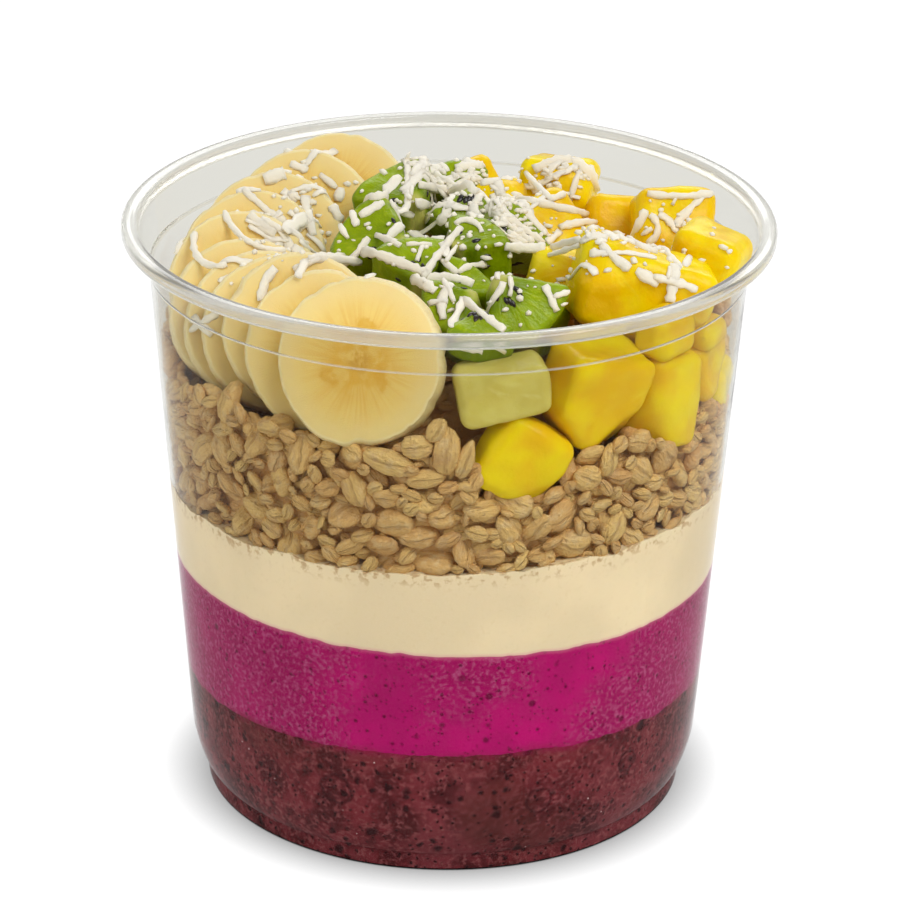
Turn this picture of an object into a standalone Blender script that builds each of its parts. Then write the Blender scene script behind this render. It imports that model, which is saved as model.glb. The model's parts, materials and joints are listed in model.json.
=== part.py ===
"""A layered acai bowl in a clear tapered cup: berry layer, pink fruit layer, cream, granola, and fresh
fruit on top. Every piece is its own closed solid, and the cup stands on its foot ring at z = 0."""

import math
import random

import bmesh
import bpy
from mathutils import Matrix, Vector
from mathutils.bvhtree import BVHTree

MM = 0.001

# The cup. Lengths are in millimetres and are turned to metres as each mesh is made.
SEGMENTS = 44            # flats round the cup and round every layer
WALL = 0.6               # sheet thickness
FOOT_RADIUS = 44.0       # outside of the foot ring
FOOT_HEIGHT = 3.5
BASE_RECESS = 2.0        # the floor inside the foot ring is pushed up by this
SHOULDER_Z = 11.0        # the rounded shoulder ends here
SHOULDER_RADIUS = 46.8
LEDGE_Z = 99.7           # the stacking ledge under the rim
LEDGE_RADIUS = 53.6
NECK_RADIUS = 56.0       # outside of the wall where it meets the lip
LIP_RADIUS = 58.5
LIP_Z = 106.2
CUP_HEIGHT = 108.6

# The layers.
GAP = 0.3                # kept between neighbouring pieces
ACAI_TOP = 23.6
PITAYA_TOP = 45.1
CREAM_TOP = 61.1
GRANOLA_EDGE = 86.0      # height of the granola where it meets the wall
GRANOLA_MIDDLE = 95.0    # height of its heap under the fruit
LAYER_RINGS = (0.0, 0.45, 0.8, 1.0)
HEAP_RINGS = 13
BED_REACH = 5.0          # the heap stays below any fruit within this distance
BED_GAP = 0.9

# The banana: one fanned row. Each slice leans on the one behind it, and is moved along its neighbour's
# face by (across, up). Turn and lean are the degrees that its face looks to the right and upwards.
FIRST_SLICE = (-14.6, -40.3, 96.7)
SLICE_GAP = 0.45
SLICE_SIDES = 20
BANANA_SLICES = (
    # turn, lean, radius, thickness, across, up
    (-15, 24, 14.8, 5.0, 0.0, 0.0),
    (-10, 25, 14.2, 4.6, -8.4, 1.3),
    (-4, 26, 13.8, 4.6, -5.8, 3.4),
    (0, 28, 14.0, 4.6, -4.2, -0.2),
    (4, 29, 14.2, 4.6, -3.2, 1.3),
    (6, 30, 14.0, 4.6, -3.0, 3.4),
    (6, 33, 13.6, 4.6, 0.0, 6.2),
    (2, 35, 13.4, 4.6, 2.5, 5.4),
    (-4, 36, 13.4, 4.6, 3.2, 5.1),
    (-8, 37, 13.6, 4.6, 5.0, 5.9),
    (-10, 38, 14.0, 5.0, 4.9, 5.1),
)

# Kiwi: wedges of peeled slices. Radius runs from the core to the outside, and spin turns the outside
# round the wedge's own face, from 0 to the right to 90 upwards.
KIWI_CHUNKS = (
    # x, y, z, turn, lean, spin, radius, angle, thickness
    (-9.0, 18.0, 104.2, -30, 70, 150, 14.0, 72, 9.0),
    (0.4, 28.8, 102.0, 10, 62, 95, 11.5, 76, 8.5),
    (2.6, 13.8, 102.8, 15, 40, 250, 10.0, 80, 8.0),
    (10.9, 3.8, 102.6, 40, 48, 20, 10.5, 84, 8.5),
    (-13.0, -1.0, 102.8, -20, 58, 165, 15.0, 70, 9.5),
    (-6.2, -12.8, 102.8, 5, 66, 100, 12.0, 74, 8.0),
    (4.4, -7.4, 104.6, -10, 74, 60, 11.0, 76, 8.5),
    (12.0, -28.4, 101.2, 6, 30, -54, 13.8, 82, 11.5),
    (0.8, -29.0, 100.4, -14, 52, 215, 10.6, 80, 9.5),
    (-10.2, -16.2, 94.2, -20, 50, 120, 7.5, 80, 6.0),
    (5.6, -41.0, 101.9, 0, 74, -90, 8.4, 84, 5.5),
    (2.4, -17.6, 100.6, 20, 60, 30, 9.0, 80, 8.0),
    (-3.6, 7.0, 95.4, 0, 72, 200, 12.0, 80, 8.0),
    (14.6, -16.4, 93.6, 30, 70, 60, 10.0, 80, 8.0),
    (-5.6, 40.4, 95.0, -10, 70, 100, 9.5, 80, 8.0),
    (-15.0, 9.0, 96.2, 10, 70, 100, 10.0, 80, 8.0),
)

# Corners of a chunk's face, as (right, up, out), for the ones that are sliced away.
TOP_LEFT, TOP_RIGHT, LOW_LEFT, LOW_RIGHT = (-1, 1, 1), (1, 1, 1), (-1, -1, 1), (1, -1, 1)
LOW_LEFT_EDGE, LOW_RIGHT_EDGE = (-1, -1, 0), (1, -1, 0)

# Firm pale fruit at the wall, cut square, under the kiwi.
PALE_CHUNK = (9.4, -44.4, 93.8, 8, 2, 9, 16.0, 10.0, 10.5, 7, (TOP_LEFT,))

# Mango: uneven dice. Each row ends with the seed that skews the corners, and the corners sliced away.
MANGO_CHUNKS = (
    # x, y, z, turn, lean, spin, width, height, depth, seed, cuts
    (12.4, -44.6, 80.9, 12, 4, -33, 13.2, 14.2, 8.0, 11, (LOW_RIGHT,)),
    (24.9, -37.0, 90.0, 32, -6, -14, 17.0, 17.0, 11.0, 4, (LOW_LEFT_EDGE, LOW_RIGHT)),
    (36.4, -28.0, 86.2, 48, 0, -6, 12.5, 17.5, 10.5, 6, (LOW_LEFT,)),
    (42.8, -17.6, 88.6, 64, 4, 10, 10.5, 10.5, 9.5, 8, (LOW_RIGHT,)),
    (33.2, -18.4, 101.9, 6, 4, -18, 24.0, 15.7, 12.5, 5, (TOP_LEFT, LOW_RIGHT_EDGE)),
    (40.4, 8.6, 101.6, 8, 32, -2, 14.0, 17.0, 10.5, 2, (LOW_LEFT,)),
    (45.9, -6.2, 101.6, -22, 4, -12, 12.3, 13.5, 12.0, 9, (LOW_RIGHT_EDGE,)),
    (20.3, 32.6, 102.6, -22, 14, 0, 12.5, 11.0, 10.0, 3, (TOP_RIGHT,)),
    (9.6, 24.0, 101.8, -12, 30, 20, 8.0, 9.0, 9.0, 12, (TOP_RIGHT,)),
    (17.6, 14.4, 100.6, 24, 44, 20, 12.0, 12.0, 9.5, 13, (LOW_RIGHT,)),
    (30.4, 20.0, 98.4, 4, 30, -8, 11.5, 12.0, 10.5, 14, (LOW_LEFT,)),
    (4.8, 39.4, 100.0, 30, 30, 10, 8.0, 10.0, 6.5, 15, (TOP_LEFT,)),
    (46.6, -8.6, 80.8, 78, 4, 0, 11.0, 7.0, 6.5, 16, (LOW_RIGHT,)),
    (20.0, -9.0, 99.6, -30, 14, -10, 9.5, 11.0, 9.0, 17, (TOP_RIGHT,)),
    (27.2, 5.0, 95.2, 20, 12, 8, 13.0, 11.0, 12.0, 18, (TOP_LEFT,)),
    (33.4, -5.4, 93.8, -14, 8, 4, 10.0, 11.0, 9.0, 19, (TOP_RIGHT,)),
    (31.2, 31.0, 92.6, 30, 10, -6, 12.0, 10.0, 11.0, 20, (TOP_LEFT,)),
    (13.6, 27.0, 92.4, -20, 20, 10, 9.0, 9.0, 8.0, 21, (TOP_RIGHT,)),
    (37.4, -30.0, 98.9, 48, 2, -2, 9.5, 7.2, 6.3, 22, ()),
    (45.3, -21.0, 95.4, 62, 4, 4, 7.6, 4.4, 4.2, 24, ()),
)

# name: base colour, roughness, metallic, transmission
FINISHES = {
    "clear_plastic": ((0.95, 0.96, 0.97), 0.05, 0.0, 1.0),
    "acai": ((0.13, 0.03, 0.045), 0.5, 0.0, 0.0),
    "pitaya": ((0.45, 0.01, 0.15), 0.45, 0.0, 0.0),
    "cream": ((0.83, 0.71, 0.5), 0.5, 0.0, 0.0),
    "granola": ((0.55, 0.35, 0.16), 0.7, 0.0, 0.0),
    "banana": ((0.86, 0.71, 0.33), 0.5, 0.0, 0.0),
    "kiwi": ((0.25, 0.42, 0.02), 0.3, 0.0, 0.0),
    "pale_fruit": ((0.6, 0.62, 0.2), 0.35, 0.0, 0.0),
    "mango": ((0.82, 0.47, 0.01), 0.35, 0.0, 0.0),
}


def clear_scene():
    """Removes whatever the file already holds."""
    for obj in list(bpy.data.objects):
        bpy.data.objects.remove(obj, do_unlink=True)


def finish(name):
    """The material of one finish, made once and shared."""
    if name in bpy.data.materials:
        return bpy.data.materials[name]
    colour, roughness, metallic, transmission = FINISHES[name]
    material = bpy.data.materials.new(name)
    material.use_nodes = True
    shader = material.node_tree.nodes["Principled BSDF"]
    shader.inputs["Base Color"].default_value = (*colour, 1.0)
    shader.inputs["Roughness"].default_value = roughness
    shader.inputs["Metallic"].default_value = metallic
    shader.inputs["Transmission Weight"].default_value = transmission
    return material


def add_object(name, bm, finish_name, matrix=None):
    """A closed mesh as an object, scaled from millimetres and placed by the matrix."""
    bmesh.ops.recalc_face_normals(bm, faces=bm.faces)
    if matrix is not None:
        bmesh.ops.transform(bm, matrix=matrix, verts=bm.verts)
    centre = sum((v.co for v in bm.verts), Vector()) / len(bm.verts)
    bmesh.ops.translate(bm, vec=-centre, verts=bm.verts)
    bmesh.ops.scale(bm, vec=(MM, MM, MM), verts=bm.verts)
    mesh = bpy.data.meshes.new(name)
    bm.to_mesh(mesh)
    bm.free()
    mesh.materials.append(finish(finish_name))
    obj = bpy.data.objects.new(name, mesh)
    obj.location = centre * MM
    bpy.context.scene.collection.objects.link(obj)
    return obj


def turned_rings(bm, profile):
    """A ring of corners for each (radius, z) of a profile, or one corner where it meets the axis."""
    return [[bm.verts.new((0.0, 0.0, z))] if radius == 0.0
            else [bm.verts.new(at_azimuth(radius, z, i)) for i in range(SEGMENTS)]
            for radius, z in profile]


def skin(bm, rings):
    """Faces between each ring and the next."""
    for lower, upper in zip(rings, rings[1:]):
        bridge(bm, lower, upper)


def at_azimuth(radius, z, i):
    """The point of ring corner i. Corner 0 is in front, at -Y."""
    angle = 2 * math.pi * i / SEGMENTS
    return (radius * math.sin(angle), -radius * math.cos(angle), z)


def bridge(bm, ring_a, ring_b):
    """Faces between two rings, either of which may be a single point."""
    count = max(len(ring_a), len(ring_b))
    for i in range(count):
        j = (i + 1) % count
        if len(ring_a) == 1:
            bm.faces.new((ring_a[0], ring_b[i], ring_b[j]))
        elif len(ring_b) == 1:
            bm.faces.new((ring_a[i], ring_a[j], ring_b[0]))
        else:
            bm.faces.new((ring_a[i], ring_a[j], ring_b[j], ring_b[i]))


# ---- the cup ------------------------------------------------------------------------------------

def shoulder(inset):
    """The rounded stretch from the top of the foot ring to the straight wall, as (radius, z)."""
    start = Vector((FOOT_RADIUS + 0.3 - inset, FOOT_HEIGHT + 0.1))
    end = Vector((SHOULDER_RADIUS - inset, SHOULDER_Z))
    control = Vector((SHOULDER_RADIUS - 0.9 - inset, FOOT_HEIGHT + 2.6))
    points = []
    for step in range(5):
        t = step / 4
        point = start * (1 - t) ** 2 + control * 2 * t * (1 - t) + end * t * t
        points.append((point.x, point.y))
    return points


def inner_radius(z):
    """Inside radius of the cup at height z, above the shoulder."""
    if z <= LEDGE_Z:
        share = (z - SHOULDER_Z) / (LEDGE_Z - SHOULDER_Z)
        return SHOULDER_RADIUS + share * (LEDGE_RADIUS - SHOULDER_RADIUS) - WALL
    share = min(1.0, (z - LEDGE_Z) / (LIP_Z - LEDGE_Z))
    return LEDGE_RADIUS + share * (NECK_RADIUS - LEDGE_RADIUS) - WALL


def inner_floor(gap=0.0):
    """The surface that lies gap above the inside of the base, from the axis out to the top of the foot
    ring, as (radius, z)."""
    return [
        (0.0, BASE_RECESS + WALL + gap),
        (FOOT_RADIUS - 4.6 + 0.6 * gap, BASE_RECESS + WALL + gap),
        (FOOT_RADIUS - 3.4 + 1.2 * gap, WALL + gap),
        (FOOT_RADIUS - WALL - 0.4 - gap, WALL + gap),
        (FOOT_RADIUS - WALL - gap, WALL + 0.5 + gap),
        (FOOT_RADIUS - WALL - gap, FOOT_HEIGHT - 0.2),
    ]


def make_cup():
    """The clear cup: foot ring, straight taper, stacking ledge, flared neck and rolled lip."""
    outside = [
        (0.0, BASE_RECESS),
        (FOOT_RADIUS - 4.9, BASE_RECESS),
        (FOOT_RADIUS - 3.7, 0.0),
        (FOOT_RADIUS - 0.7, 0.0),
        (FOOT_RADIUS, 0.7),
        (FOOT_RADIUS, FOOT_HEIGHT),
        *shoulder(0.0),
        (LEDGE_RADIUS, LEDGE_Z),
        (LEDGE_RADIUS + 0.5, LEDGE_Z + 0.4),
        (NECK_RADIUS, LIP_Z),
    ]
    lip = [
        (LIP_RADIUS - 0.7, LIP_Z),
        (LIP_RADIUS, LIP_Z + 0.9),
        (LIP_RADIUS, CUP_HEIGHT - 1.1),
        (LIP_RADIUS - 1.0, CUP_HEIGHT),
        (NECK_RADIUS + 0.3, CUP_HEIGHT - 0.1),
        (NECK_RADIUS - WALL, LIP_Z + 0.8),
    ]
    inside = [
        *inner_floor(),
        *shoulder(WALL),
        (LEDGE_RADIUS - WALL, LEDGE_Z),
        (LEDGE_RADIUS + 0.5 - WALL, LEDGE_Z + 0.5),
    ]
    bm = bmesh.new()
    skin(bm, turned_rings(bm, outside + lip + inside[::-1]))
    return add_object("cup", bm, "clear_plastic")


# ---- the layers -----------------------------------------------------------------------------------

def wave(azimuth, share, seed, height):
    """A slow unevenness of a layer's surface, strongest at the wall. Share is 0 at the axis, 1 at the wall."""
    swing = math.sin(2 * azimuth + seed) + 0.6 * math.sin(3 * azimuth + 2.1 * seed)
    return height * share * swing / 1.6


def acai_level(azimuth, share):
    return ACAI_TOP + 1.0 * share * math.cos(azimuth) + wave(azimuth, share, 1.0, 0.4)


def pitaya_level(azimuth, share):
    return PITAYA_TOP - 0.7 * share * math.sin(azimuth) + wave(azimuth, share, 4.0, 0.3)


def cream_level(azimuth, share):
    return CREAM_TOP + 1.1 * share * math.sin(azimuth) + wave(azimuth, share, 2.2, 0.4)


def surface_rings(bm, level, shares, edge_gap, lift=0.0):
    """Rings of one layer surface, from the axis to the wall. The outermost ring follows the wall."""
    rings = []
    for share in shares:
        if share == 0.0:
            rings.append([bm.verts.new((0.0, 0.0, level(0.0, 0.0) + lift))])
            continue
        ring = []
        for i in range(SEGMENTS):
            z = level(2 * math.pi * i / SEGMENTS, share) + lift
            ring.append(bm.verts.new(at_azimuth(share * (inner_radius(z) - edge_gap), z, i)))
        rings.append(ring)
    return rings


def make_layer(name, finish_name, bottom_level, top_level):
    """A layer between two uneven surfaces. With no bottom level it fills the cup's base."""
    bm = bmesh.new()
    if bottom_level is None:
        rings = turned_rings(bm, inner_floor(GAP) + shoulder(WALL + GAP))
    else:
        rings = surface_rings(bm, bottom_level, LAYER_RINGS, GAP, lift=GAP)
    rings += surface_rings(bm, top_level, LAYER_RINGS, GAP)[::-1]
    skin(bm, rings)
    return add_object(name, bm, finish_name)


# ---- the fruit --------------------------------------------------------------------------------------

def facing(turn, lean):
    """Unit vector that looks towards -Y, turned to the right and up by degrees."""
    turn, lean = math.radians(turn), math.radians(lean)
    return Vector((math.sin(turn) * math.cos(lean), -math.cos(turn) * math.cos(lean), math.sin(lean)))


def face_axes(turn, lean, spin=0.0):
    """(right, up, face) axes of a piece whose face looks along facing(turn, lean)."""
    face = facing(turn, lean)
    right = Vector((0, 0, 1)).cross(face).normalized()
    up = face.cross(right)
    angle = math.radians(spin)
    return (right * math.cos(angle) + up * math.sin(angle),
            up * math.cos(angle) - right * math.sin(angle),
            face)


def placed(centre, axes):
    """Matrix that puts a piece's x, y and z axes on the given axes, at the centre."""
    turned = Matrix(axes).transposed()
    return Matrix.Translation(Vector(centre)) @ turned.to_4x4()


def banana_places():
    """(centre, axes, radius, thickness) of every slice, front to back."""
    places = []
    centre = Vector(FIRST_SLICE)
    for i, (turn, lean, radius, thickness, across, up) in enumerate(BANANA_SLICES):
        axes = face_axes(turn, lean)
        if i > 0:
            _, front, front_radius, front_thickness = places[-1]
            spread = math.sin(front[2].angle(axes[2])) * min(radius, front_radius) * 0.8
            behind = (front_thickness + thickness) / 2 + SLICE_GAP + spread
            centre = centre + front[0] * across + front[1] * up - front[2] * behind
        places.append((centre.copy(), axes, radius, thickness))
    return places


def make_banana_slice(number, centre, axes, radius, thickness):
    """A round slice: slightly uneven outline, softened edges."""
    rng = random.Random(100 + number)
    lobes = rng.uniform(0, 2 * math.pi)
    bm = bmesh.new()
    rings = []
    for inset, height in ((0.5, -0.5), (0.0, -0.36), (0.0, 0.36), (0.5, 0.5)):
        ring = []
        for i in range(SLICE_SIDES):
            angle = 2 * math.pi * i / SLICE_SIDES
            r = radius * (1 + 0.012 * math.cos(5 * angle + lobes)) - inset
            ring.append(bm.verts.new((r * math.cos(angle), r * math.sin(angle), height * thickness)))
        rings.append(ring)
    skin(bm, rings)
    bm.faces.new(rings[0])
    bm.faces.new(rings[-1])
    return add_object(f"banana_slice_{number:02d}", bm, "banana", placed(centre, axes))


def soften(bm, width):
    """Bevels every edge of a piece by about the width."""
    bmesh.ops.bevel(bm, geom=bm.edges[:], offset=width, segments=1, profile=0.7, affect="EDGES",
                    clamp_overlap=True)


def make_kiwi_chunk(number, row):
    """A wedge of a peeled slice: two straight cuts that meet at the core, and a round outside."""
    x, y, z, turn, lean, spin, radius, angle, thickness = row
    half = math.radians(angle) / 2
    outline = [(0.12 * radius, -0.05 * radius), (0.12 * radius, 0.05 * radius)]
    outline += [(radius * math.cos(a), radius * math.sin(a))
                for a in (half, half * 0.5, 0.0, -half * 0.5, -half)]
    middle = 0.6 * radius
    bm = bmesh.new()
    rings = [[bm.verts.new((px - middle, py, side * thickness / 2)) for px, py in outline]
             for side in (-1, 1)]
    bridge(bm, *rings)
    bm.faces.new(rings[0])
    bm.faces.new(rings[1])
    bmesh.ops.recalc_face_normals(bm, faces=bm.faces)
    soften(bm, 1.1)
    matrix = placed((x, y, z), face_axes(turn, lean, spin))
    return add_object(f"kiwi_chunk_{number:02d}", bm, "kiwi", matrix)


def make_cut_chunk(name, finish_name, row):
    """An uneven die: a block with skewed corners, some corners sliced away, and softened edges."""
    x, y, z, turn, lean, spin, width, height, depth, seed, cuts = row
    rng = random.Random(seed)
    half = Vector((width, height, depth)) / 2
    bm = bmesh.new()
    bmesh.ops.create_cube(bm, size=2.0)
    for vert in bm.verts:
        skew = [1 - rng.uniform(0.0, 0.18) for _ in range(3)]
        vert.co = Vector([vert.co[i] * half[i] * skew[i] for i in range(3)])
    for signs in cuts:
        corner = Vector([signs[i] * half[i] for i in range(3)])
        outwards = Vector([signs[i] / half[i] for i in range(3)]).normalized()
        cut = bmesh.ops.bisect_plane(bm, geom=bm.verts[:] + bm.edges[:] + bm.faces[:],
                                     plane_co=corner * rng.uniform(0.52, 0.64), plane_no=outwards,
                                     clear_outer=True)
        rim = [e for e in cut["geom_cut"] if isinstance(e, bmesh.types.BMEdge)]
        bmesh.ops.edgeloop_fill(bm, edges=rim)
    bmesh.ops.recalc_face_normals(bm, faces=bm.faces)
    soften(bm, 1.0)
    return add_object(name, bm, finish_name, placed((x, y, z), face_axes(turn, lean, spin)))


def make_fruit():
    """All the fruit on the granola."""
    fruit = []
    for number, place in enumerate(banana_places(), start=1):
        fruit.append(make_banana_slice(number, *place))
    for number, row in enumerate(KIWI_CHUNKS, start=1):
        fruit.append(make_kiwi_chunk(number, row))
    fruit.append(make_cut_chunk("pale_fruit_chunk", "pale_fruit", PALE_CHUNK))
    for number, row in enumerate(MANGO_CHUNKS, start=1):
        fruit.append(make_cut_chunk(f"mango_chunk_{number:02d}", "mango", row))
    return fruit


# ---- the granola ---------------------------------------------------------------------------------------

def underside_of(pieces):
    """A function that gives the lowest height, in millimetres, of the pieces above (x, y)."""
    points, faces = [], []
    for obj in pieces:
        start = len(points)
        points += [obj.location + v.co for v in obj.data.vertices]
        faces += [[start + i for i in polygon.vertices] for polygon in obj.data.polygons]
    tree = BVHTree.FromPolygons(points, faces)

    def height(x, y):
        hit = tree.ray_cast(Vector((x * MM, y * MM, CREAM_TOP * MM)), Vector((0, 0, 1)))[0]
        return math.inf if hit is None else hit.z / MM

    return height


def make_granola(fruit):
    """The granola heap: it lies on the cream and rises to just under the fruit that rests on it."""
    underside = underside_of(fruit)
    reach = [(0.0, 0.0)]
    for distance in (0.5 * BED_REACH, BED_REACH):
        reach += [(distance * math.cos(a * math.pi / 6), distance * math.sin(a * math.pi / 6))
                  for a in range(12)]

    def heap_level(azimuth, share):
        radius = share * (inner_radius(GRANOLA_EDGE) - GAP)
        x, y = radius * math.sin(azimuth), -radius * math.cos(azimuth)
        fall = (GRANOLA_MIDDLE - GRANOLA_EDGE) * share ** 2
        free = GRANOLA_MIDDLE - fall + wave(azimuth, share, 3.3, 1.5)
        bed = min(underside(x + dx, y + dy) for dx, dy in reach) - BED_GAP
        return min(free, bed)

    bm = bmesh.new()
    heap_shares = [i / (HEAP_RINGS - 1) for i in range(HEAP_RINGS)]
    rings = surface_rings(bm, cream_level, LAYER_RINGS, GAP, lift=GAP)
    rings += surface_rings(bm, heap_level, heap_shares, GAP)[::-1]
    skin(bm, rings)
    return add_object("granola", bm, "granola")


def main():
    clear_scene()
    make_cup()
    make_layer("acai_layer", "acai", None, acai_level)
    make_layer("pitaya_layer", "pitaya", acai_level, pitaya_level)
    make_layer("cream_layer", "cream", pitaya_level, cream_level)
    make_granola(make_fruit())


main()
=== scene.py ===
"""A layered acai bowl: a clear tapered cup holding a berry layer, a pink fruit layer, cream and granola,
with fanned banana, kiwi, mango and shredded coconut on top."""

import json
import math
import random

import bpy
import numpy as np
from mathutils import Matrix, Vector, noise
from mathutils.bvhtree import BVHTree

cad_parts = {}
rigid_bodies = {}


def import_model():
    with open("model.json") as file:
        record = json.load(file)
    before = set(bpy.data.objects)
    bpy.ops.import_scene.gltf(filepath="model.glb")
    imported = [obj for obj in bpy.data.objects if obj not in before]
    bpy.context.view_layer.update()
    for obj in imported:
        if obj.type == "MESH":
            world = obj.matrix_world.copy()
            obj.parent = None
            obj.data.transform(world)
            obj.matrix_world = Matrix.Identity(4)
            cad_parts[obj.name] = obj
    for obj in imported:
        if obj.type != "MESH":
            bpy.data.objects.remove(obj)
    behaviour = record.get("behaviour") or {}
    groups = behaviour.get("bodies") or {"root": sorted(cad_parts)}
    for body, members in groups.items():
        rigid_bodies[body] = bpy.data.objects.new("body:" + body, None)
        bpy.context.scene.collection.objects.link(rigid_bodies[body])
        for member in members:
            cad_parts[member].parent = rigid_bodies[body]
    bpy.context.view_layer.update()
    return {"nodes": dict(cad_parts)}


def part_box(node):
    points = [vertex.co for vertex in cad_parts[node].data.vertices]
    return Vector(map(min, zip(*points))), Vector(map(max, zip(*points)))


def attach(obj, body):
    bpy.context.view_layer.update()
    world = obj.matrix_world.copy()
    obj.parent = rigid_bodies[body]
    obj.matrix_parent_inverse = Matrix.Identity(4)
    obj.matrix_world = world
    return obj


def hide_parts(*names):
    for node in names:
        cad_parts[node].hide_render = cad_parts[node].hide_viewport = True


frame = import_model()

bl_info = {
    "name": "Acai Bowl",
    "version": (1, 0, 0),
    "blender": (4, 5, 0),
    "location": "3D View > Sidebar > Acai Bowl",
    "description": "Builds a layered acai bowl in a clear cup, piece by piece",
    "category": "Add Mesh",
}

MM = 0.001
NODES = frame["nodes"]
RIM_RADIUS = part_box("cup")[1].x
CUP_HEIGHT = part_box("cup")[1].z


# ---- colours --------------------------------------------------------------------------------------

def tint(red, green, blue):
    """A linear colour from display values of 0 to 255."""
    linear = []
    for value in (red, green, blue):
        share = value / 255
        linear.append(share / 12.92 if share <= 0.04045 else ((share + 0.055) / 1.055) ** 2.4)
    return (*linear, 1.0)


def colour_property(name, description, default):
    return bpy.props.FloatVectorProperty(name=name, description=description, default=default,
                                         subtype="COLOR", size=4, min=0.0, max=1.0)


# ---- what a user may change -----------------------------------------------------------------------

class CupSettings(bpy.types.PropertyGroup):
    """The clear cup."""
    wall: bpy.props.FloatProperty(name="Wall", description="Thickness of the plastic sheet",
                                  default=0.6 * MM, unit="LENGTH")
    steps: bpy.props.IntProperty(name="Steps", description="Flats round the cup", default=192)
    colour: colour_property("Plastic", "Tint of the clear plastic", tint(216, 215, 208))


class LayerSettings(bpy.types.PropertyGroup):
    """The three smooth layers."""
    acai_top: bpy.props.FloatProperty(name="Berry top", description="Mean height of the berry layer",
                                      default=23.6 * MM, unit="LENGTH")
    pitaya_top: bpy.props.FloatProperty(name="Pink top", description="Mean height of the pink layer",
                                        default=45.1 * MM, unit="LENGTH")
    cream_top: bpy.props.FloatProperty(name="Cream top", description="Mean height of the cream",
                                       default=61.1 * MM, unit="LENGTH")
    acai: colour_property("Berry", "Colour of the berry layer", tint(116, 38, 46))
    pitaya: colour_property("Pink fruit", "Colour of the pink layer", tint(188, 0, 110))
    cream: colour_property("Cream", "Colour of the cream", tint(237, 217, 180))


class GranolaSettings(bpy.types.PropertyGroup):
    """The oat flakes."""
    flake: bpy.props.FloatProperty(name="Flake", description="Mean length of a flake",
                                   default=5.4 * MM, unit="LENGTH")
    colour: colour_property("Oats", "Colour of the toasted flakes", tint(255, 202, 130))


class FruitSettings(bpy.types.PropertyGroup):
    """The cut fruit."""
    banana: colour_property("Banana", "Colour of the banana", tint(247, 216, 126))
    kiwi: colour_property("Kiwi", "Colour of the kiwi", tint(148, 172, 0))
    mango: colour_property("Mango", "Colour of the mango", tint(255, 227, 0))
    pale: colour_property("Pale fruit", "Colour of the pale chunk", tint(226, 214, 116))


class CoconutSettings(bpy.types.PropertyGroup):
    """The shredded coconut."""
    width: bpy.props.FloatProperty(name="Width", description="Mean width of a shred",
                                   default=1.3 * MM, unit="LENGTH")
    colour: colour_property("Coconut", "Colour of the coconut", tint(252, 244, 226))


class StageSettings(bpy.types.PropertyGroup):
    """Floor, lights and camera."""
    lens: bpy.props.FloatProperty(name="Lens", description="Focal length", default=175.88, unit="CAMERA")
    floor: colour_property("Floor", "Colour of the floor", tint(84, 84, 84))


# ---- modelling helpers ------------------------------------------------------------------------------

def deselect():
    if bpy.context.mode != "OBJECT":
        bpy.ops.object.mode_set(mode="OBJECT")
    bpy.ops.object.select_all(action="DESELECT")


def activate(obj):
    deselect()
    obj.select_set(True)
    bpy.context.view_layer.objects.active = obj


def edit_all(obj):
    """Edit mode with all of the mesh selected."""
    activate(obj)
    bpy.ops.object.mode_set(mode="EDIT")
    bpy.ops.mesh.select_all(action="SELECT")


def apply_modifier(obj, kind, **values):
    activate(obj)
    modifier = obj.modifiers.new(kind.title(), kind)
    for name, value in values.items():
        setattr(modifier, name, value)
    bpy.ops.object.modifier_apply(modifier=modifier.name)


def settle(obj):
    """Moves an object's place and turn into its mesh."""
    activate(obj)
    bpy.ops.object.transform_apply(location=True, rotation=True, scale=True)


def smooth(obj, degrees=180.0):
    activate(obj)
    if degrees >= 180:
        bpy.ops.object.shade_smooth()
    else:
        bpy.ops.object.shade_smooth_by_angle(angle=math.radians(degrees))


def coordinates(obj):
    flat = np.empty(len(obj.data.vertices) * 3)
    obj.data.vertices.foreach_get("co", flat)
    return flat.reshape(-1, 3)


def set_coordinates(obj, points):
    obj.data.vertices.foreach_set("co", np.asarray(points, float).ravel())
    obj.data.update()


def normals(obj):
    flat = np.empty(len(obj.data.vertices) * 3)
    obj.data.vertices.foreach_get("normal", flat)
    return flat.reshape(-1, 3)


def store_vector(obj, name, values):
    attribute = obj.data.attributes.new(name, "FLOAT_VECTOR", "POINT")
    attribute.data.foreach_set("vector", np.asarray(values, np.float32).ravel())


def store_value(obj, name, values):
    attribute = obj.data.attributes.new(name, "FLOAT", "POINT")
    attribute.data.foreach_set("value", np.asarray(values, np.float32))


def mesh_object(name, points, faces):
    mesh = bpy.data.meshes.new(name)
    mesh.from_pydata([tuple(p) for p in points], [], faces)
    obj = bpy.data.objects.new(name, mesh)
    bpy.context.scene.collection.objects.link(obj)
    return obj


def spun(name, profile, steps):
    """A closed shape turned from a profile of (radius, z) that starts and ends on the axis."""
    mesh = bpy.data.meshes.new(name)
    edges = [(i, i + 1) for i in range(len(profile) - 1)]
    mesh.from_pydata([(r, 0.0, z) for r, z in profile], edges, [])
    obj = bpy.data.objects.new(name, mesh)
    bpy.context.scene.collection.objects.link(obj)
    edit_all(obj)
    bpy.ops.mesh.spin(steps=steps, angle=2 * math.pi, center=(0, 0, 0), axis=(0, 0, 1))
    bpy.ops.mesh.select_all(action="SELECT")
    bpy.ops.mesh.remove_doubles(threshold=1e-6)
    bpy.ops.mesh.normals_make_consistent(inside=False)
    bpy.ops.object.mode_set(mode="OBJECT")
    return obj


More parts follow.
